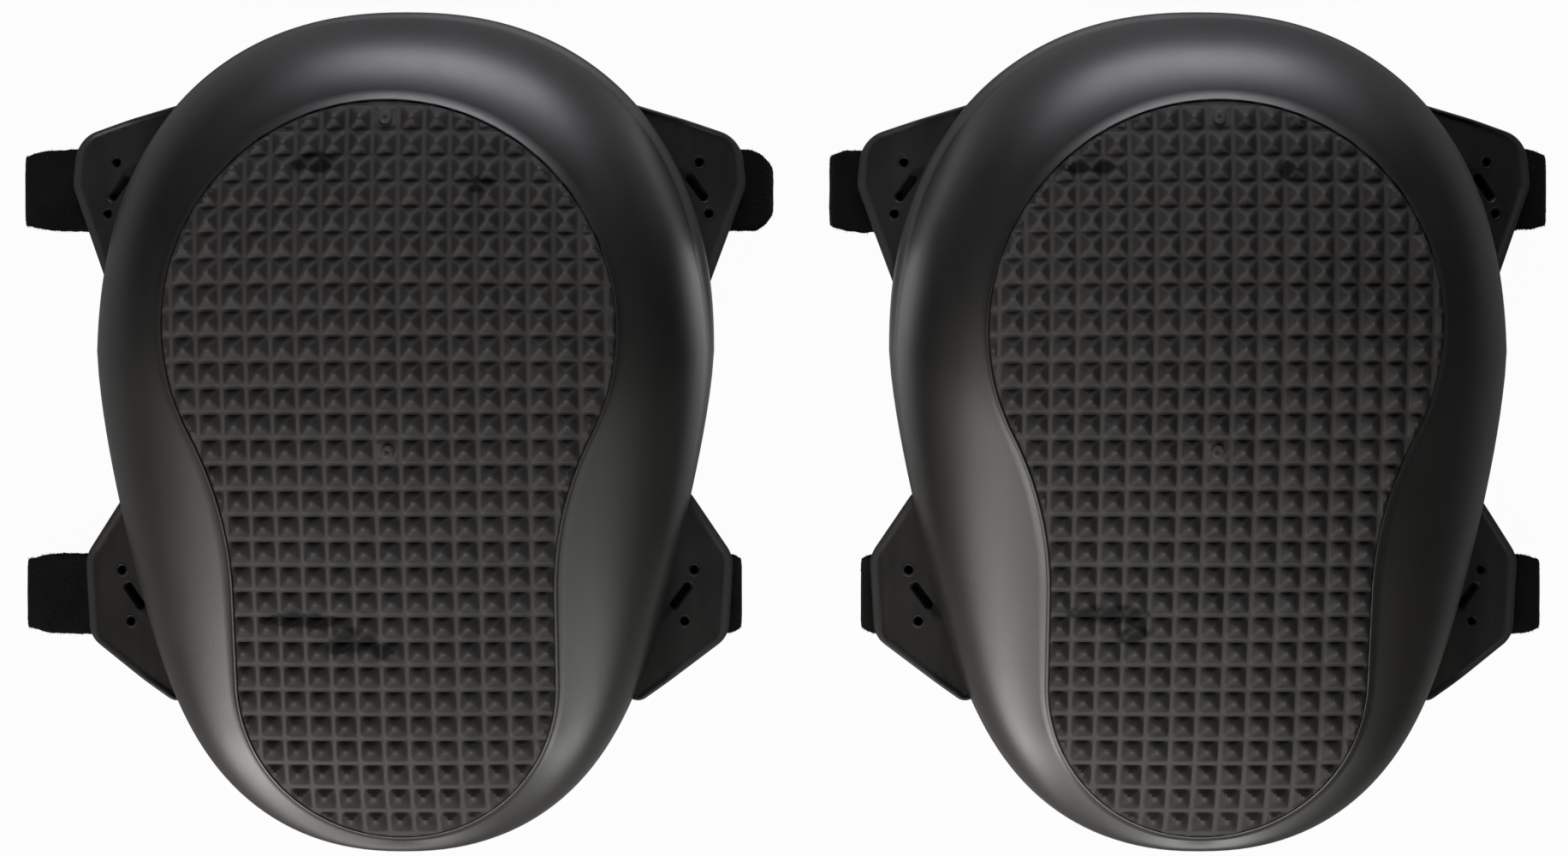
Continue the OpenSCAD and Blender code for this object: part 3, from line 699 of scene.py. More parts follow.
def tread_grid():
    """Grid points inside the tread's outline, and the faces of the cells between them."""
    xs = stud_lines(STUD_COLUMNS)
    ys = TREAD_MID_Y + stud_lines(STUD_ROWS)
    mid_x, mid_y = np.meshgrid((xs[1:] + xs[:-1]) / 2, (ys[1:] + ys[:-1]) / 2)
    inside = (np.abs(mid_x) < tread_half_w(mid_y)) & (mid_y < TREAD_TOP_Y) & (mid_y > TREAD_BOTTOM_Y)
    wide = len(xs)
    faces = []
    for j, i in np.argwhere(inside):
        first = j * wide + i
        cell = [first, first + 1, first + wide + 1, first + wide]
        along_ridge = (i % STUD_CELLS < STUD_CELLS / 2) == (j % STUD_CELLS < STUD_CELLS / 2)
        faces.append(cell if along_ridge else cell[1:] + cell[:1])
    x, y = np.meshgrid(xs, ys)
    used, flat = np.unique(np.array(faces), return_inverse=True)
    points = np.stack([x.ravel()[used], y.ravel()[used]], axis=1)
    return points, flat.reshape(-1, 4)


def border(faces):
    """The corners on the edge of a patch of four-sided faces, in order round it."""
    edges = {(f[k - 1], f[k]) for f in faces.tolist() for k in range(4)}
    follows = {a: b for a, b in edges if (b, a) not in edges}
    loop = [min(follows)]
    while follows[loop[-1]] != loop[0]:
        loop.append(follows[loop[-1]])
    return loop


def tread_shape():
    points, faces = tread_grid()
    line, tree = outline_tree()
    loop = border(faces)
    for i in loop:
        points[i] = line[tree.find((*points[i], 0.0))[1]]
    away = np.array([tree.find((*p, 0.0))[2] for p in points])
    x, y = points.T
    height = stud_height(x, y)[0]
    height = np.where(near_stubs(x, y), np.minimum(height, STUB_FLAT), height)
    height = height * fade(away, 0, EDGE_FADE) ** EDGE_POWER
    shape = Shape().add(on_crown(x, y, height), faces.tolist())
    edge = points[loop]
    rim = edge + EDGE_OUT * outward(edge)
    rings = [on_crown(*edge.T), on_crown(*rim.T, -EDGE_OUT), on_crown(*rim.T, -TREAD_SINK)]
    middle = np.array([0.0, TREAD_MID_Y])
    rings += [on_crown(*(middle + share * (edge - middle)).T, -TREAD_SINK) for share in BASE_SHARES]
    shape.loft(rings, start_cap=False)
    add_stubs(shape)
    return shape


# Dark stains on each tread, as spots in the pad's own frame, where the studs are worn and dusty, and the
# painted highlight on the gate stubs
STAINS = {
    "left": [(13, -60, 7.5, 4, 0), (26, -54, 12, 2.4, 0), (3, -63, 3.2, 2.4, 0), (19, 75, 7, 2.8, 0),
             (-27, 69, 4, 2.6, 0)],
    "right": [(-29, -52, 11, 3, 0), (-22, -58, 5, 2.8, 0), (-36, 74, 9, 2.2, 0), (20, 73, 3.4, 2.8, 0)],
}
STAIN_EDGE = 2.5
STAIN_GROW = 0.1
STAIN_RAGGED = 0.8
STAIN_NOISE = 260
IN_PLAN = (1, 1, 0)
TIP_WEAR = 0.7
DUST_UNDER = 0.001
STUB_HIGHLIGHT = 0.8


def paint_tread(pad, piece):
    """Writes how worn, dusty and stained the tread is at each of its points, with a painted highlight on
    the gate stubs.
    """
    co = points_of(piece)
    x, y = (co[:, 0] - pad.centre) * pad.turn, co[:, 1]
    rise = stud_height(x, y)[1]
    ragged = STAIN_GROW + STAIN_RAGGED * rough_noise(co * IN_PLAN, STAIN_NOISE)
    # The gate stubs and the flat ground round them are lighter: a painted highlight
    write_layer(piece, "worn", np.where(near_stubs(x, y), STUB_HIGHLIGHT, fade(rise, TIP_WEAR, 1)))
    write_layer(piece, "dusty", rise < DUST_UNDER)
    write_layer(piece, "stain", np.clip(STAIN_EDGE * (in_spots(x, y, STAINS[pad.side]) + ragged), 0, 1))


# Cross-section of the foam below the rim, as steps from the cap's outline, negative inwards, and heights
FOAM_EDGE = [(-3.9, 20.0), (-3.3, 17.0), (-3.0, 13.5), (-3.2, 10.0), (-4.2, 7.2), (-6.2, 5.4),
             (-9.0, 4.75), (-12.0, 4.9), (-14.4, 5.8), (-15.9, 7.4)]
HOLLOW_SHARES = (0.72, 0.5, 0.25)
HOLLOW_STEPS = 14
FOAM_STEPS = 8


def foam_shape():
    top = [crown_ring(share, FOAM_TOP) for share in reversed(INNER_SHARES)]
    edge = [flat_ring(out * MM, z * MM) for out, z in FOAM_EDGE]
    hollow = [crown_ring(share, FOAM_UNDER) for share in HOLLOW_SHARES]
    return Shape().loft([*top, *reversed(shoulder_rings(edge[0], top[-1], FOAM_STEPS)), *edge,
                         *shoulder_rings(edge[-1], hollow[0], HOLLOW_STEPS), *hollow])


def lining_shape():
    """The knit that covers the hollow, a thin shell just off the foam."""
    skins = []
    for lift in (LINING_GAP, LINING_GAP + LINING_T):
        foot = flat_ring(-FOAM_IN - lift, FOAM_EDGE[-1][1] * MM)
        hollow = [crown_ring(share, FOAM_UNDER + lift) for share in HOLLOW_SHARES]
        skins.append([foot, *shoulder_rings(foot, hollow[0], HOLLOW_STEPS), *hollow])
    return Shape().loft([*reversed(skins[0]), *skins[1]])


# Soft pass on the cushions: a cloth run under light pressure, held inside the CAD solid, and how full
# the cushions are
START_IN = 1.2 * MM
VOXEL = 5 * MM
PRESSURE = 4.0
CLOTH_FRAMES = 20
CLOTH_CAP = 2.5 * MM
SOLID_INSET = 0.08 * MM
TINY = 1e-9


def applied(piece):
    """Gives the piece the mesh that its modifiers make, and takes them off."""
    graph = bpy.context.evaluated_depsgraph_get()
    mesh = bpy.data.meshes.new_from_object(piece.evaluated_get(graph))
    piece.modifiers.clear()
    spent = piece.data
    piece.data = mesh
    bpy.data.meshes.remove(spent)


def swell(piece, node):
    """Remeshes a cushion, swells it as cloth under pressure and keeps it inside its CAD solid."""
    for v in piece.data.vertices:
        v.co = v.co - START_IN * v.normal
    remesh = piece.modifiers.new("remesh", "REMESH")
    remesh.mode = "VOXEL"
    remesh.voxel_size = VOXEL
    applied(piece)
    start = [v.co.copy() for v in piece.data.vertices]
    cloth = piece.modifiers.new("cloth", "CLOTH")
    cloth.settings.use_pressure = True
    cloth.settings.uniform_pressure_force = PRESSURE
    cloth.settings.effector_weights.gravity = 0
    cloth.collision_settings.use_collision = False
    for number in range(1, CLOTH_FRAMES + 1):
        scene.frame_set(number)
    applied(piece)
    scene.frame_set(1)
    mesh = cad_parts[node].data
    solid = BVHTree.FromPolygons([v.co for v in mesh.vertices], [f.vertices for f in mesh.polygons])
    for v, first in zip(piece.data.vertices, start):
        step = v.co - first
        v.co = first + step * min(1.0, CLOTH_CAP / max(step.length, TINY))
        place, normal = solid.find_nearest(v.co)[:2]
        if (v.co - place).dot(normal) > -SOLID_INSET:
            v.co = place - SOLID_INSET * normal
    piece.data.shade_smooth()
    smooth = piece.modifiers.new("smooth", "SUBSURF")
    smooth.levels = smooth.render_levels = 1


# Ears: corners, holes and bend as in the CAD frame, and the profiles of the rolled edge and of the slot
EAR_ROOT_END = by_level(27, 36.5)
EAR_EDGE_SLANT = 1.5 * MM
EAR_ROOT = by_level(23, 16)
EAR_NECK = by_level((4, -37), (2, -36.5))
EAR_ENDS = by_level((1, 15), (-11.5, 12.5))
EAR_ROUNDS = by_level((4, 4, 8, 10), (4, 4, 9, 8))
TO_END = {"upper": 1, "lower": -1}
EAR_EDGE = [(0.7, -2.2), (0.25, -2.05), (0.05, -1.7), (0.0, -1.2), (0.0, -0.3), (0.2, 0.1), (0.6, 0.36),
            (1.2, 0.5), (1.9, 0.5), (2.5, 0.36), (3.0, 0.12), (3.4, 0.0)]
EDGE_LEAST = 0.4
EDGE_CLEAR = 0.5 * MM
EDGE_RISE = 3 * MM
EAR_BEND_HALF = 3 * MM
EAR_BEND_CUTS = 7
EAR_CELL = 1.5 * MM
EAR_STEP = 0.8 * MM
LEAST_POINTS = 8
CORNER_DEG = 6.0
CUT_WELD = 1e-7
RIVET_TURN = radians(11)
RIVET_IN = by_level(5.6, 6)
RIVET_SPACING = 15.4 * MM
RIVET_HOLE_R = 1.65 * MM
SLOT_LEN = 9 * MM
SLOT_W = 2.4 * MM
SLOT_TURN = radians(52)
SLOT_IN = 3.4 * MM
SLOT_STEPS = 12
SLOT_DISH = [(0.0, -2.2), (0.0, -1.0), (0.1, -0.5), (0.25, -0.15), (0.45, 0.0)]


def bend_x(level):
    return float(cap_x(STRAP_Y[level])) + BEND_OUT[level]


def rounded(corners, radii, step_deg=CORNER_DEG):
    """A convex outline with round corners, as points."""
    points = []
    n = len(corners)
    for i, corner in enumerate(corners):
        back = unit(corners[i - 1] - corner)
        on = unit(corners[(i + 1) % n] - corner)
        half = acos(float(back @ on)) / 2
        centre = corner + unit(back + on) * radii[i] / sin(half)
        first, last = corner + back * radii[i] / tan(half), corner + on * radii[i] / tan(half)
        start = atan2(*(first - centre)[::-1])
        sweep = (atan2(*(last - centre)[::-1]) - start + pi) % (2 * pi) - pi
        steps = max(2, ceil(abs(degrees(sweep)) / step_deg))
        for k in range(steps + 1):
            a = start + sweep * k / steps
            points.append(centre + radii[i] * toward(a))
    return np.array(points)


def resampled(points, step):
    """A closed line again, with points about a step apart."""
    closed = np.vstack([points, points[:1]])
    along = np.concatenate([[0], np.cumsum(np.linalg.norm(np.diff(closed, axis=0), axis=1))])
    at = np.linspace(0, along[-1], max(LEAST_POINTS, round(along[-1] / step)), endpoint=False)
    return np.stack([np.interp(at, along, closed[:, k]) for k in range(2)], axis=1)


def ear_outline(level):
    bend, y, end = bend_x(level), STRAP_Y[level], TO_END[level]
    edge, neck, ends = bend + EAR_REACH[level], EAR_NECK[level], EAR_ENDS[level]
    corners = np.array([
        (bend - EAR_ROOT[level], y + end * EAR_ROOT_END[level]), (bend + neck[0], y + end * neck[1]),
        (edge, y + end * ends[0]), (edge - EAR_EDGE_SLANT, y + end * ends[1])])
    points = resampled(rounded(corners, EAR_ROUNDS[level]), EAR_STEP)
    if end < 0:
        points = points[::-1]
    points[:, 0] = np.maximum(points[:, 0], cap_x(points[:, 1], -CAP_WALL))
    return resampled(points, EAR_STEP)


def rivet_places(level):
    """The two rivets of an ear, as x along the slope from the bend and y."""
    lean = -TO_END[level] * RIVET_TURN
    half = RIVET_SPACING / 2
    return [(RIVET_IN[level] + s * half * sin(lean), STRAP_Y[level] + s * half * cos(lean))
            for s in (-1, 1)]


def slot_outline(level, grow):
    turn = -TO_END[level] * SLOT_TURN
    points = []
    for s in (1, -1):
        for k in range(SLOT_STEPS + 1):
            a = turn - s * pi / 2 + pi * k / SLOT_STEPS
            points.append(s * toward(turn) * (SLOT_LEN - SLOT_W) / 2 + (SLOT_W / 2 + grow) * toward(a))
    return np.array(points) + (bend_x(level) + SLOT_IN, STRAP_Y[level])


def bent(level, x, z):
    """Where a point of a flat ear goes when the ear is bent down: x and z."""
    bend = bend_x(level)
    radius = 2 * EAR_BEND_HALF / EAR_TILT
    into = x - (bend - EAR_BEND_HALF)
    if into <= 0:
        return x, RIM_Z + z
    angle = min(into / radius, EAR_TILT)
    rest = max(0.0, into - 2 * EAR_BEND_HALF)
    centre_z = RIM_Z - radius
    return (bend - EAR_BEND_HALF + (radius + z) * sin(angle) + rest * cos(angle),
            centre_z + (radius + z) * cos(angle) - rest * sin(angle))


def loop_edges(bm, points, z):
    heights = np.broadcast_to(z, len(points))
    verts = [bm.verts.new((p[0], p[1], h)) for p, h in zip(points, heights)]
    edges = [bm.edges.new((verts[i], verts[(i + 1) % len(verts)])) for i in range(len(verts))]
    return verts, edges


def join_loops(bm, a, b):
    n = len(a)
    for i in range(n):
        bm.faces.new((a[i], a[(i + 1) % n], b[(i + 1) % n], b[i]))


def edge_rings(level):
    """Rings from the ear's underside round its rolled edge, which is widest on the outer side."""
    edge = ear_outline(level)
    out = outward(edge)
    wide = EDGE_LEAST + (1 - EDGE_LEAST) * np.clip(out[:, :1], 0, 1) ** 2
    rings = []
    for inset, up in EAR_EDGE:
        ring = edge - inset * MM * wide * out
        clear = np.clip((ring[:, 0] - cap_x(ring[:, 1]) - EDGE_CLEAR) / EDGE_RISE, 0, 1)
        rings.append((ring, up * MM * (clear if up > 0 else 1.0)))
    return rings


def hole_rings(level):
    """Rings of the two rivet holes and of the dished slot, each from the underside up."""
    holes = [circle((bend_x(level) + u, y), RIVET_HOLE_R) for u, y in rivet_places(level)]
    rings = [[(hole, -EAR_T), (hole, 0.0)] for hole in holes]
    rings.append([(slot_outline(level, grow * MM), up * MM) for grow, up in SLOT_DISH])
    return rings


def cut_ear(bm, level):
    """Cuts a flat ear across its bend, and into cells that are small enough to carry its lighter edge
    and dark patches.
    """
    bends = np.linspace(-EAR_BEND_HALF, EAR_BEND_HALF, EAR_BEND_CUTS + 1) + bend_x(level)
    cuts = [(0, x) for x in bends]
    for axis in (0, 1):
        reach = [v.co[axis] for v in bm.verts]
        cuts += [(axis, at) for at in np.arange(min(reach) + EAR_CELL, max(reach), EAR_CELL)]
    for axis, at in cuts:
        place, normal = Vector(), Vector()
        place[axis] = at
        normal[axis] = 1
        geometry = [*bm.verts, *bm.edges, *bm.faces]
        bmesh.ops.bisect_plane(bm, geom=geometry, plane_co=place, plane_no=normal, dist=CUT_WELD)


def ear_shape(level):
    """A flat tongue under the rim and a flap with a rolled edge, two rivet holes and a slot."""
    bm = bmesh.new()
    walls = []
    for rings in (edge_rings(level), *hole_rings(level)):
        walls.append([loop_edges(bm, ring, up) for ring, up in rings])
    for wall in walls:
        for a, b in zip(wall, wall[1:]):
            join_loops(bm, a[0], b[0])
    for end in (0, -1):
        edges = [edge for wall in walls for edge in wall[end][1]]
        bmesh.ops.triangle_fill(bm, edges=edges, use_beauty=True, use_dissolve=False)
    cut_ear(bm, level)
    bm.verts.index_update()
    points = []
    for v in bm.verts:
        x, z = bent(level, v.co.x, v.co.z)
        points.append((x, v.co.y, z))
    shape = Shape().add(points, [[v.index for v in f.verts] for f in bm.faces])
    bm.free()
    return shape


# Marks on the ears: how high the rolled band is where it is lighter, partly rubbed wear and partly a
# painted highlight, and dark patches as spots that are placed outwards from the bend and along the leg
# from the strap's middle
RUB_AND_HIGHLIGHT_FROM = 0.12 * MM
RUB_AND_HIGHLIGHT_FULL = 0.45 * MM
DARK_PATCHES = [(0.6, 3.4, 6.0, 2.0, -SLOT_TURN), (-1.5, -9.5, 3.0, 2.4, 0.0)]
DARK_PATCH_NOISE = 420.0
DARK_PATCH_GROW = 0.2
DARK_PATCH_RAGGED = 0.7


def paint_ear(pad, level, piece):
    """Writes where an ear's rolled edge is lighter, partly rubbed and partly a painted highlight, and
    where it has dark patches.
    """
    co = points_of(piece)
    u = np.abs(co[:, 0] - pad.centre) - bend_x(level)
    v = TO_END[level] * (co[:, 1] - STRAP_Y[level])
    over = (co[:, 2] - RIM_Z) * cos(EAR_TILT) + u * sin(EAR_TILT)
    ragged = DARK_PATCH_GROW + DARK_PATCH_RAGGED * rough_noise(co, DARK_PATCH_NOISE)
    # Lighter rolled edge: partly rubbed wear, partly a painted highlight
    write_layer(piece, "rubbed", fade(over, RUB_AND_HIGHLIGHT_FROM, RUB_AND_HIGHLIGHT_FULL))
    # Dark patches round the slot and towards the cap
    write_layer(piece, "dark_patch", np.clip(in_spots(u, v, DARK_PATCHES) + ragged, 0, 1))


def mirrored(shape):
    """The same shape on the inner side of the pad."""
    return Shape().add([(-x, y, z) for x, y, z in shape.points], shape.faces)


# Rivets and washers: lathe profiles as radius and height over the ear's face
RIVET = [(1.35, -4.6), (1.35, -0.15), (1.42, 0.02), (1.6, 0.1), (1.85, 0.09), (2.15, 0.0), (2.0, -0.02),
         (1.6, -0.02), (1.6, -4.3), (1.9, -4.32), (2.2, -4.5), (2.1, -4.75), (1.6, -4.8)]
WASHER = [(1.66, -4.3), (1.66, -3.84), (2.8, -3.84), (3.0, -3.95), (3.0, -4.2), (2.8, -4.3)]


def on_slope(level, u, w):
    """A point in the side view, u down an ear's slope from its bend and w off its face."""
    return (bend_x(level), RIM_Z) + u * DOWN_EAR + w * OFF_EAR


def lathe(shape, level, centre, profile, side):
    """Turns a profile round a rivet's axis, on the outer side of a pad or, at -1, on its inner side."""
    rings = []
    for du, dv in circle((0, 0), MM):
        ring = []
        for r, h in profile:
            x, z = on_slope(level, centre[0] + r * du, h * MM)
            ring.append((side * x, centre[1] + r * dv, z))
        rings.append(ring)
    rings.append(rings[0])
    shape.loft(rings, start_cap=False, end_cap=False)


def lathed(profile):
    """The profile turned at each of a pad's eight rivets."""
    shape = Shape()
    for level in LEVELS:
        for centre in rivet_places(level):
            for side in (1, -1):
                lathe(shape, level, centre, profile, side)
    return shape


# Straps and tabs: steps along them, their pile, wavy edges and folds, and loose fibres
SLOPE_STEP = 1.2 * MM
RUN_STEP = 1.0 * MM
FOLD_STEPS = 16
BAND_LOWER = EAR_T + STRAP_T / 2
PILE_CORE = 0.6 * MM
PILE_H = 0.24 * MM
ACROSS = 34
SECTION_POWERS = (0.3, 0.45)
EDGE_WAVES = ((0.7 * MM, 130.0), (0.35 * MM, 420.0))
FOLD_NARROW = {("left", "upper"): 5.0 * MM}
FOLD_NARROW_USUAL = 1.7 * MM
FOLD_SPREAD = 3.4 * MM
PILE_NOISE = 900.0
FACES_APART = 0.3
EDGES_APART = 7.0
FIBRES_PER_RING = 6
FIBRE_LEN = (0.25 * MM, 0.85 * MM)
FIBRE_R = 0.06 * MM
FIBRE_SPLAY = 0.7
FIBRE_SIDES = 3
FIBRE_STRAY = 4
OFF_AXIS = (0.31, 0.53, 0.79)


def fold_of(level, out, z):
    """The fold of a band: its start, centre and radius in the side view."""
    start = on_slope(level, EAR_REACH[level] + out, -BAND_LOWER)
    radius = (start[1] - z) / (1 + cos(EAR_TILT))
    return start, start - radius * OFF_EAR, radius


def tab_fold_x(pad, level):
    return fold_of(level, pad.tab_out[level], TAB_RUN_Z)[1][0]


def band_path(level, out, z, end_x):
    """Middle line of a band in the side view: down behind its ear, round the fold and along its run."""
    start, centre, radius = fold_of(level, out, z)
    length = EAR_REACH[level] + out - BAND_START
    count = max(2, round(length / SLOPE_STEP))
    path = [start - DOWN_EAR * length * (1 - k / count) for k in range(count)]
    for k in range(FOLD_STEPS + 1):
        a = pi / 2 - EAR_TILT - (pi - EAR_TILT) * k / FOLD_STEPS
        path.append(centre + radius * toward(a))
    run = centre[0] - end_x
    count = max(2, round(run / RUN_STEP))
    path += [np.array([centre[0] - run * (k + 1) / count, z]) for k in range(count)]
    return np.array(path)


def band_section():
    """Cross-section of a band, as a share across its half width and a height in half thicknesses."""
    a = turns(2 * ACROSS)
    return np.stack([spow(np.cos(a), SECTION_POWERS[0]), spow(np.sin(a), SECTION_POWERS[1])], axis=1)


def pile(point, scale):
    """How high the pile stands at a point, from 0 to 1."""
    return 0.5 + 0.5 * noise.noise(Vector(point) * scale)


def edge_wave(run, seed):
    """How far a band's edge strays at a place along it."""
    return sum(size * noise.noise(Vector((run * scale, seed, scale))) for size, scale in EDGE_WAVES)


def add_fibre(shape, root, way, length):
    """A thin spike with three sides, kept above the floor."""
    way = unit(way)
    side = unit(np.cross(way, OFF_AXIS))
    ring = circle((0, 0), FIBRE_R, FIBRE_SIDES) @ np.array([side, np.cross(way, side)])
    points = np.array([*(root + ring), root + way * length])
    points[:, 2] = np.maximum(points[:, 2], 0.0)
    shape.add(points, [(0, 1, 3), (1, 2, 3), (2, 0, 3), (2, 1, 0)])


def add_fuzz(shape, rings, seed):
    """Loose fibres round a band, that point out of its middle line."""
    draw = np.random.RandomState(int(seed) + 1)
    for ring in rings[1:-1]:
        middle = ring.mean(axis=0)
        for edge in (0, ACROSS):
            for _ in range(FIBRES_PER_RING // 2):
                root = ring[(edge + draw.randint(-FIBRE_STRAY, FIBRE_STRAY + 1)) % len(ring)]
                way = unit(root - middle) + draw.uniform(-FIBRE_SPLAY, FIBRE_SPLAY, 3)
                add_fibre(shape, root, way, draw.uniform(*FIBRE_LEN))


def band_shape(path, y, seed, narrow):
    """A strap of loop pile along a path: wavy edges, narrower at its fold, and a fuzzy face."""
    step = np.linalg.norm(np.diff(path, axis=0), axis=1)
    run = np.concatenate([[0], np.cumsum(step)])
    from_fold = run - run[np.argmax(path[:, 0])]
    pinch = narrow * np.exp(-(from_fold / FOLD_SPREAD) ** 2 / 2)
    along = np.gradient(path, axis=0)
    along /= np.linalg.norm(along, axis=1)[:, None]
    normal = np.stack([-along[:, 1], along[:, 0]], axis=1)
    section = band_section()
    rings = []
    for k, (p, n) in enumerate(zip(path, normal)):
        wave = [edge_wave(run[k], s * EDGES_APART + seed) for s in (-1, 1)]
        ring = []
        for c, s in section:
            half = STRAP_W / 2 - PILE_H - pinch[k] + wave[0 if c < 0 else 1]
            rough = pile((p[0] + seed, y + c * half, p[1] + FACES_APART * s), PILE_NOISE)
            thick = s * (PILE_CORE + PILE_H * rough)
            side = c * (half + PILE_H * rough)
            ring.append((p[0] + n[0] * thick, y + side, p[1] + n[1] * thick))
        rings.append(np.array(ring))
    shape = Shape().loft(rings)
    add_fuzz(shape, rings, seed)
    return shape


def make_strap(pad, level, seed):
    name = f"{pad.side}_{level}_strap"
    narrow = FOLD_NARROW.get((pad.side, level), FOLD_NARROW_USUAL)
    path = band_path(level, FOLD_OUT[level], FLOOR_RUN_Z, STRAP_SHORT - tab_fold_x(pad, level))
    shape = mirrored(band_shape(path, STRAP_Y[level], seed, narrow))
    piece = make_piece(pad, f"{name}_webbing", shape, "strap")
    fold_x = fold_of(level, FOLD_OUT[level], FLOOR_RUN_Z)[1][0]
    start = Vector(pad.place((-fold_x, STRAP_Y[level], FLOOR_RUN_Z)))
    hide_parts(name, f"{name}_anchor")
    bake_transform(piece)


def make_tab(pad, level, seed):
    name = f"{pad.side}_{level}_tab"
    path = band_path(level, pad.tab_out[level], TAB_RUN_Z, tab_fold_x(pad, level) - TAB_RUN)
    shape = band_shape(path, STRAP_Y[level], seed, FOLD_NARROW_USUAL)
    dress(pad, f"{name}_webbing", shape, "strap", name)


# Hook tape: a backing and rows of small bent hooks that face the strap, each drawn from root to head as
# shares of its width, height and lean
HOOK_LEN = 34 * MM
HOOK_INSET = 2 * MM
HOOK_TOP_Z = 2.8 * MM
HOOK_BACK = 0.45 * MM
HOOK_H = 0.5 * MM
HOOK_PITCH = 1.7 * MM
HOOK_HALF = 0.28 * MM
HOOK_LEAN = 1.2 * HOOK_HALF
HOOK_PROFILE = [(1.0, 0.0, 0.0), (0.75, 0.3, 0.0), (1.25, 0.62, 0.5), (0.8, 1.0, 1.0)]
HOOK_SHIFT = 0.25
BACK_ROUND = 1.5 * MM
BACK_ROUND_DEG = 15.0


def hook_corners(pad, level, inset=0.0):
    """Corners of the hook tape in plan, or of a line inset from its edge."""
    near = tab_fold_x(pad, level) - TAB_RUN + HOOK_INSET + inset
    far = near + HOOK_LEN - 2 * inset
    half = (STRAP_W - HOOK_INSET) / 2 - inset
    y = STRAP_Y[level]
    return np.array([(near, y - half), (far, y - half), (far, y + half), (near, y + half)])


def hook_shape(pad, level):
    corners = hook_corners(pad, level)
    low, high = corners[0], corners[2]
    ring = rounded(corners, [BACK_ROUND] * len(corners), BACK_ROUND_DEG)
    root_z = HOOK_TOP_Z - HOOK_BACK
    shape = Shape().loft([raised(ring, z) for z in (HOOK_TOP_Z, root_z)])
    columns = int((high[0] - low[0] - 2 * HOOK_INSET) / HOOK_PITCH)
    rows = int((high[1] - low[1] - HOOK_INSET) / HOOK_PITCH)
    for i in range(columns):
        for j in range(rows):
            x = low[0] + HOOK_INSET + (i + HOOK_SHIFT + 0.5 * (j % 2)) * HOOK_PITCH
            y = low[1] + HOOK_INSET / 2 + (j + 0.5) * HOOK_PITCH
            add_hook(shape, x, y, root_z)
    return shape


def add_hook(shape, x, y, z):
    """A tapered stem with a head that leans over."""
    rings = []
    for wide, down, over in HOOK_PROFILE:
        half = wide * HOOK_HALF
        mid_x, at_z = x + HOOK_LEAN * over, z - HOOK_H * down
        rings.append([(mid_x + half * a, y + half * b, at_z) for a, b in SQUARE])
    shape.loft(rings)


# Stitches that hold the hook tape to its tab, seen on the tab's upper face: shares along, sizes and dips
STITCH_LEN = 2.2 * MM
STITCH_GAP = 0.9 * MM
STITCH_R = 0.28 * MM
STITCH_IN = 1.4 * MM
STITCH_SIDES = 8
STITCH_PROFILE = [(0.0, 0.35, 0.9), (0.15, 0.85, 0.35), (0.5, 1.0, 0.0), (0.85, 0.85, 0.35),
                  (1.0, 0.35, 0.9)]


def add_stitch(shape, start, end, z):
    """A short round thread that dips in at both ends."""
    along = unit(end - start)
    side = np.array([-along[1], along[0]])
    rings = []
    for t, size, dip in STITCH_PROFILE:
        thread = circle((0, 0), STITCH_R * size, STITCH_SIDES)
        flat = start + (end - start) * t + np.outer(thread[:, 0], side)
        rings.append(np.column_stack([flat, z - dip * STITCH_R + thread[:, 1]]))
    shape.loft(rings)


def stitch_shape(pad, level):
    corners = hook_corners(pad, level, STITCH_IN)
    z = TAB_RUN_Z + PILE_CORE + PILE_H / 2
    shape = Shape()
    for corner, following in zip(corners, np.roll(corners, -1, axis=0)):
        run = following - corner
        count = int(np.linalg.norm(run) / (STITCH_LEN + STITCH_GAP))
        stitch = run / count * STITCH_LEN / (STITCH_LEN + STITCH_GAP)
        for k in range(count):
            start = corner + run / count * k
            add_stitch(shape, start, start + stitch, z)
    return shape


EARS = {level: ear_shape(level) for level in LEVELS}
SEEDS_PER_LEVEL = 2


def make_pad(pad, number):
    side = pad.side
    paint_cap(dress(pad, f"{side}_cap_shell", cap_shape(), "cap", f"{side}_cap"))
    paint_tread(pad, dress(pad, f"{side}_tread_studs", tread_shape(), "tread", f"{side}_tread"))
    foam = dress(pad, f"{side}_cushion", foam_shape(), "foam", f"{side}_foam_cushion")
    swell(foam, f"{side}_foam_cushion")
    lining = dress(pad, f"{side}_cushion_lining", lining_shape(), "lining", f"{side}_lining")
    dress(pad, f"{side}_eyelets", lathed(RIVET), "rivet", f"{side}_rivets")
    dress(pad, f"{side}_washers", lathed(WASHER), "rivet", f"{side}_rivet_washers")
    for k, level in enumerate(LEVELS):
        seed = SEEDS_PER_LEVEL * (len(LEVELS) * number + k)
        name = f"{side}_{level}"
        for place, shape in (("outer", EARS[level]), ("inner", mirrored(EARS[level]))):
            flap = dress(pad, f"{name}_{place}_flap", shape, "ear", f"{name}_{place}_ear")
            paint_ear(pad, level, flap)
        make_strap(pad, level, seed)
        make_tab(pad, level, seed + 1)
        dress(pad, f"{name}_hook_tape", hook_shape(pad, level), "hook", f"{name}_hook_patch")
        dress(pad, f"{name}_stitching", stitch_shape(pad, level), "thread", slot="strap")


for number, pad in enumerate(PADS):
    make_pad(pad, number)


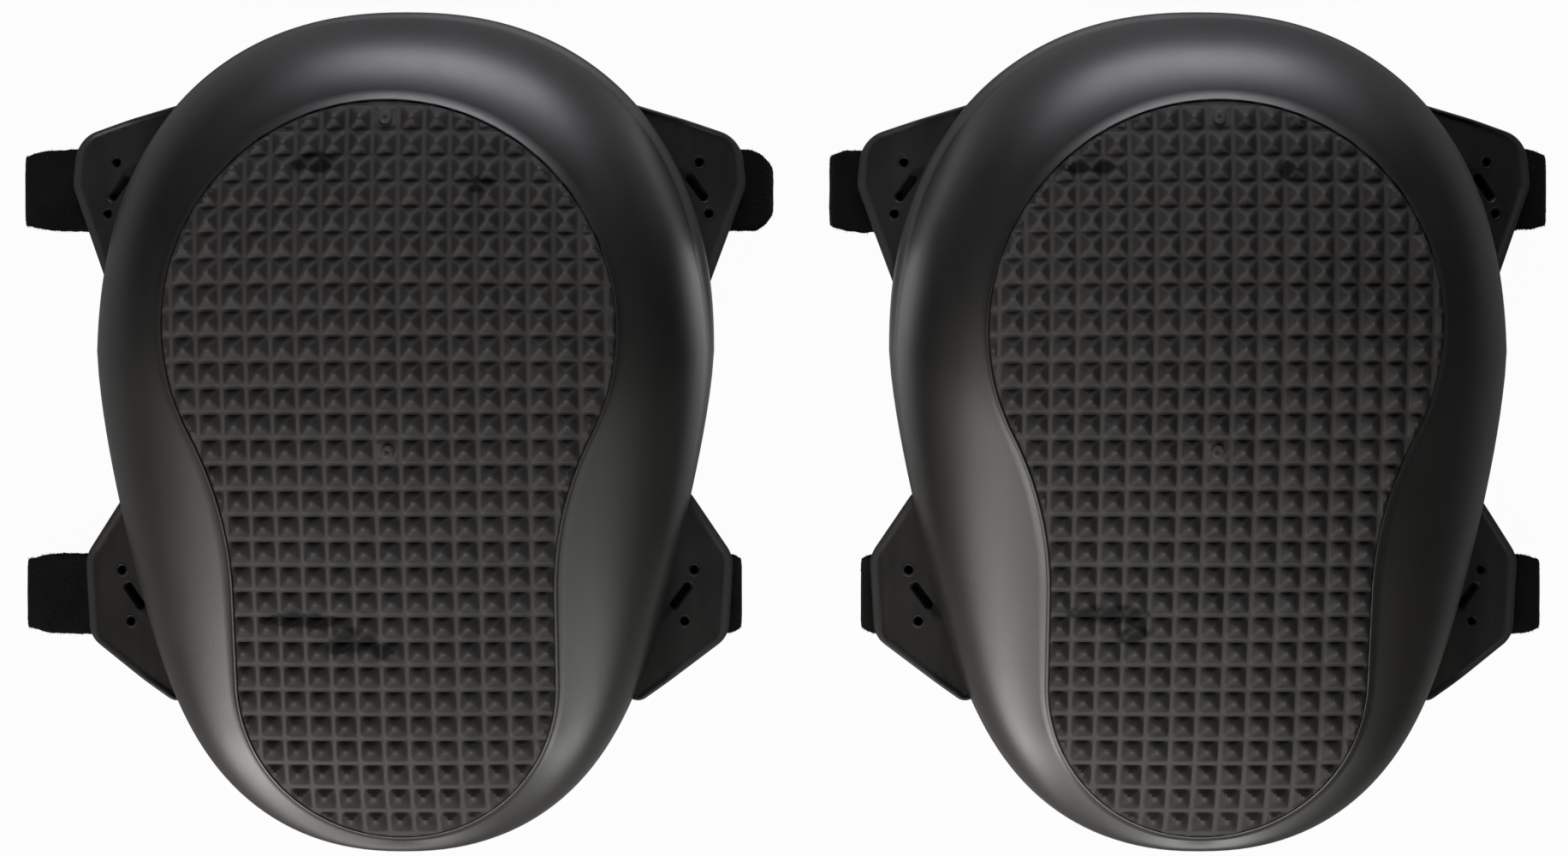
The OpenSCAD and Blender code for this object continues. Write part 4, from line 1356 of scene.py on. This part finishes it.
# Studio: a white floor, dim walls and soft lamps, given as place, size, power and colour
FLOOR_HALF = 12.0
CAMERA_AT = (-0.3 * MM, 1.0 * MM, 1.05)
LENS_MM = 80.0
SENSOR_MM = 36.0
AIM = (0.0, 0.0, 0.05)
LAMPS = [
    ("key", (-0.5, -0.74, 0.46), (0.5, 0.5), 7.6, (1.0, 0.96, 0.92)),
    ("top", (0.08, 1.18, 0.48), (1.1, 0.8), 12.8, (0.94, 0.93, 1.0)),
    ("fill", (0.14, -0.38, 0.26), (0.2, 0.15), 0.75, (1.0, 1.0, 0.94)),
]
HORIZON = 0.035
HORIZON_UP = 0.05
ZENITH = 0.015
ZENITH_UP = 0.45
FLOOR_SEEN = 0.97
FLOOR_MIRRORED = 0.045
FLOOR_COLOUR = grey(0.35)
GLOW_EXTRA = 24.0
GLOW_Y = 60 * MM
GLOW_HALF = (55 * MM, 110 * MM)


def floor_look():
    """Nearly white, with a soft shadow. In reflections it glows faintly, and most between the pads."""
    look = Look("white_floor", Roughness=0.9, Base_Color=(*FLOOR_COLOUR, 1))
    path = look.node("LightPath").outputs
    patch = look.node("Mapping", {"vector_type": "TEXTURE"}, Vector=look.place(),
                      Location=(0, GLOW_Y, 0), Scale=(*GLOW_HALF, 1))
    patch = look.node("TexGradient", {"gradient_type": "QUADRATIC_SPHERE"}, Vector=patch.outputs[0])
    mirrored_ray = look.math("MAXIMUM", path["Is Glossy Ray"], path["Is Transmission Ray"])
    extra = look.math("MULTIPLY", mirrored_ray, look.math("MULTIPLY", patch.outputs["Fac"], GLOW_EXTRA))
    glow = look.node("Emission", Color=(1, 1, 1, 1), Strength=look.math("ADD", extra, 1.0))
    seen = look.math("MAXIMUM", look.math("MULTIPLY", path["Is Camera Ray"], FLOOR_SEEN),
                     look.math("MULTIPLY", mirrored_ray, FLOOR_MIRRORED))
    mix = look.node("MixShader", Fac=seen)
    look.feed(mix, {1: look.shader.outputs[0], 2: glow.outputs[0]})
    look.feed(look.tree.nodes["Material Output"], {"Surface": mix.outputs[0]})
    return look.owner


def make_floor():
    mesh = bpy.data.meshes.new("floor")
    mesh.from_pydata([(FLOOR_HALF * a, FLOOR_HALF * b, 0) for a, b in SQUARE], [], [(0, 1, 2, 3)])
    mesh.materials.append(floor_look())
    put("floor", mesh)


def make_world():
    """Dim walls and a darker ceiling."""
    look = Look("studio", bpy.data.worlds, "Background")
    place = look.node("TexCoord").outputs["Generated"]
    up = look.node("SeparateXYZ", Vector=place).outputs["Z"]
    shades = [(HORIZON_UP, grey(HORIZON)), (ZENITH_UP, grey(ZENITH))]
    scene.world = look.finish(Color=look.ramp(up, shades))


def make_lamp(name, place, size, power, colour):
    data = bpy.data.lights.new(name, "AREA")
    data.shape = "RECTANGLE"
    data.size, data.size_y = size
    data.energy = power
    data.color = colour
    lamp = put(name, data)
    lamp.location = place
    lamp.rotation_euler = (Vector(AIM) - Vector(place)).to_track_quat("-Z", "Y").to_euler()
    lamp.visible_camera = False


def make_camera():
    data = bpy.data.cameras.new("camera")
    data.lens = LENS_MM
    data.sensor_width = SENSOR_MM
    scene.camera = put("camera", data)
    scene.camera.location = CAMERA_AT


make_floor()
make_world()
for lamp in LAMPS:
    make_lamp(*lamp)
make_camera()
scene.view_settings.view_transform = "Standard"
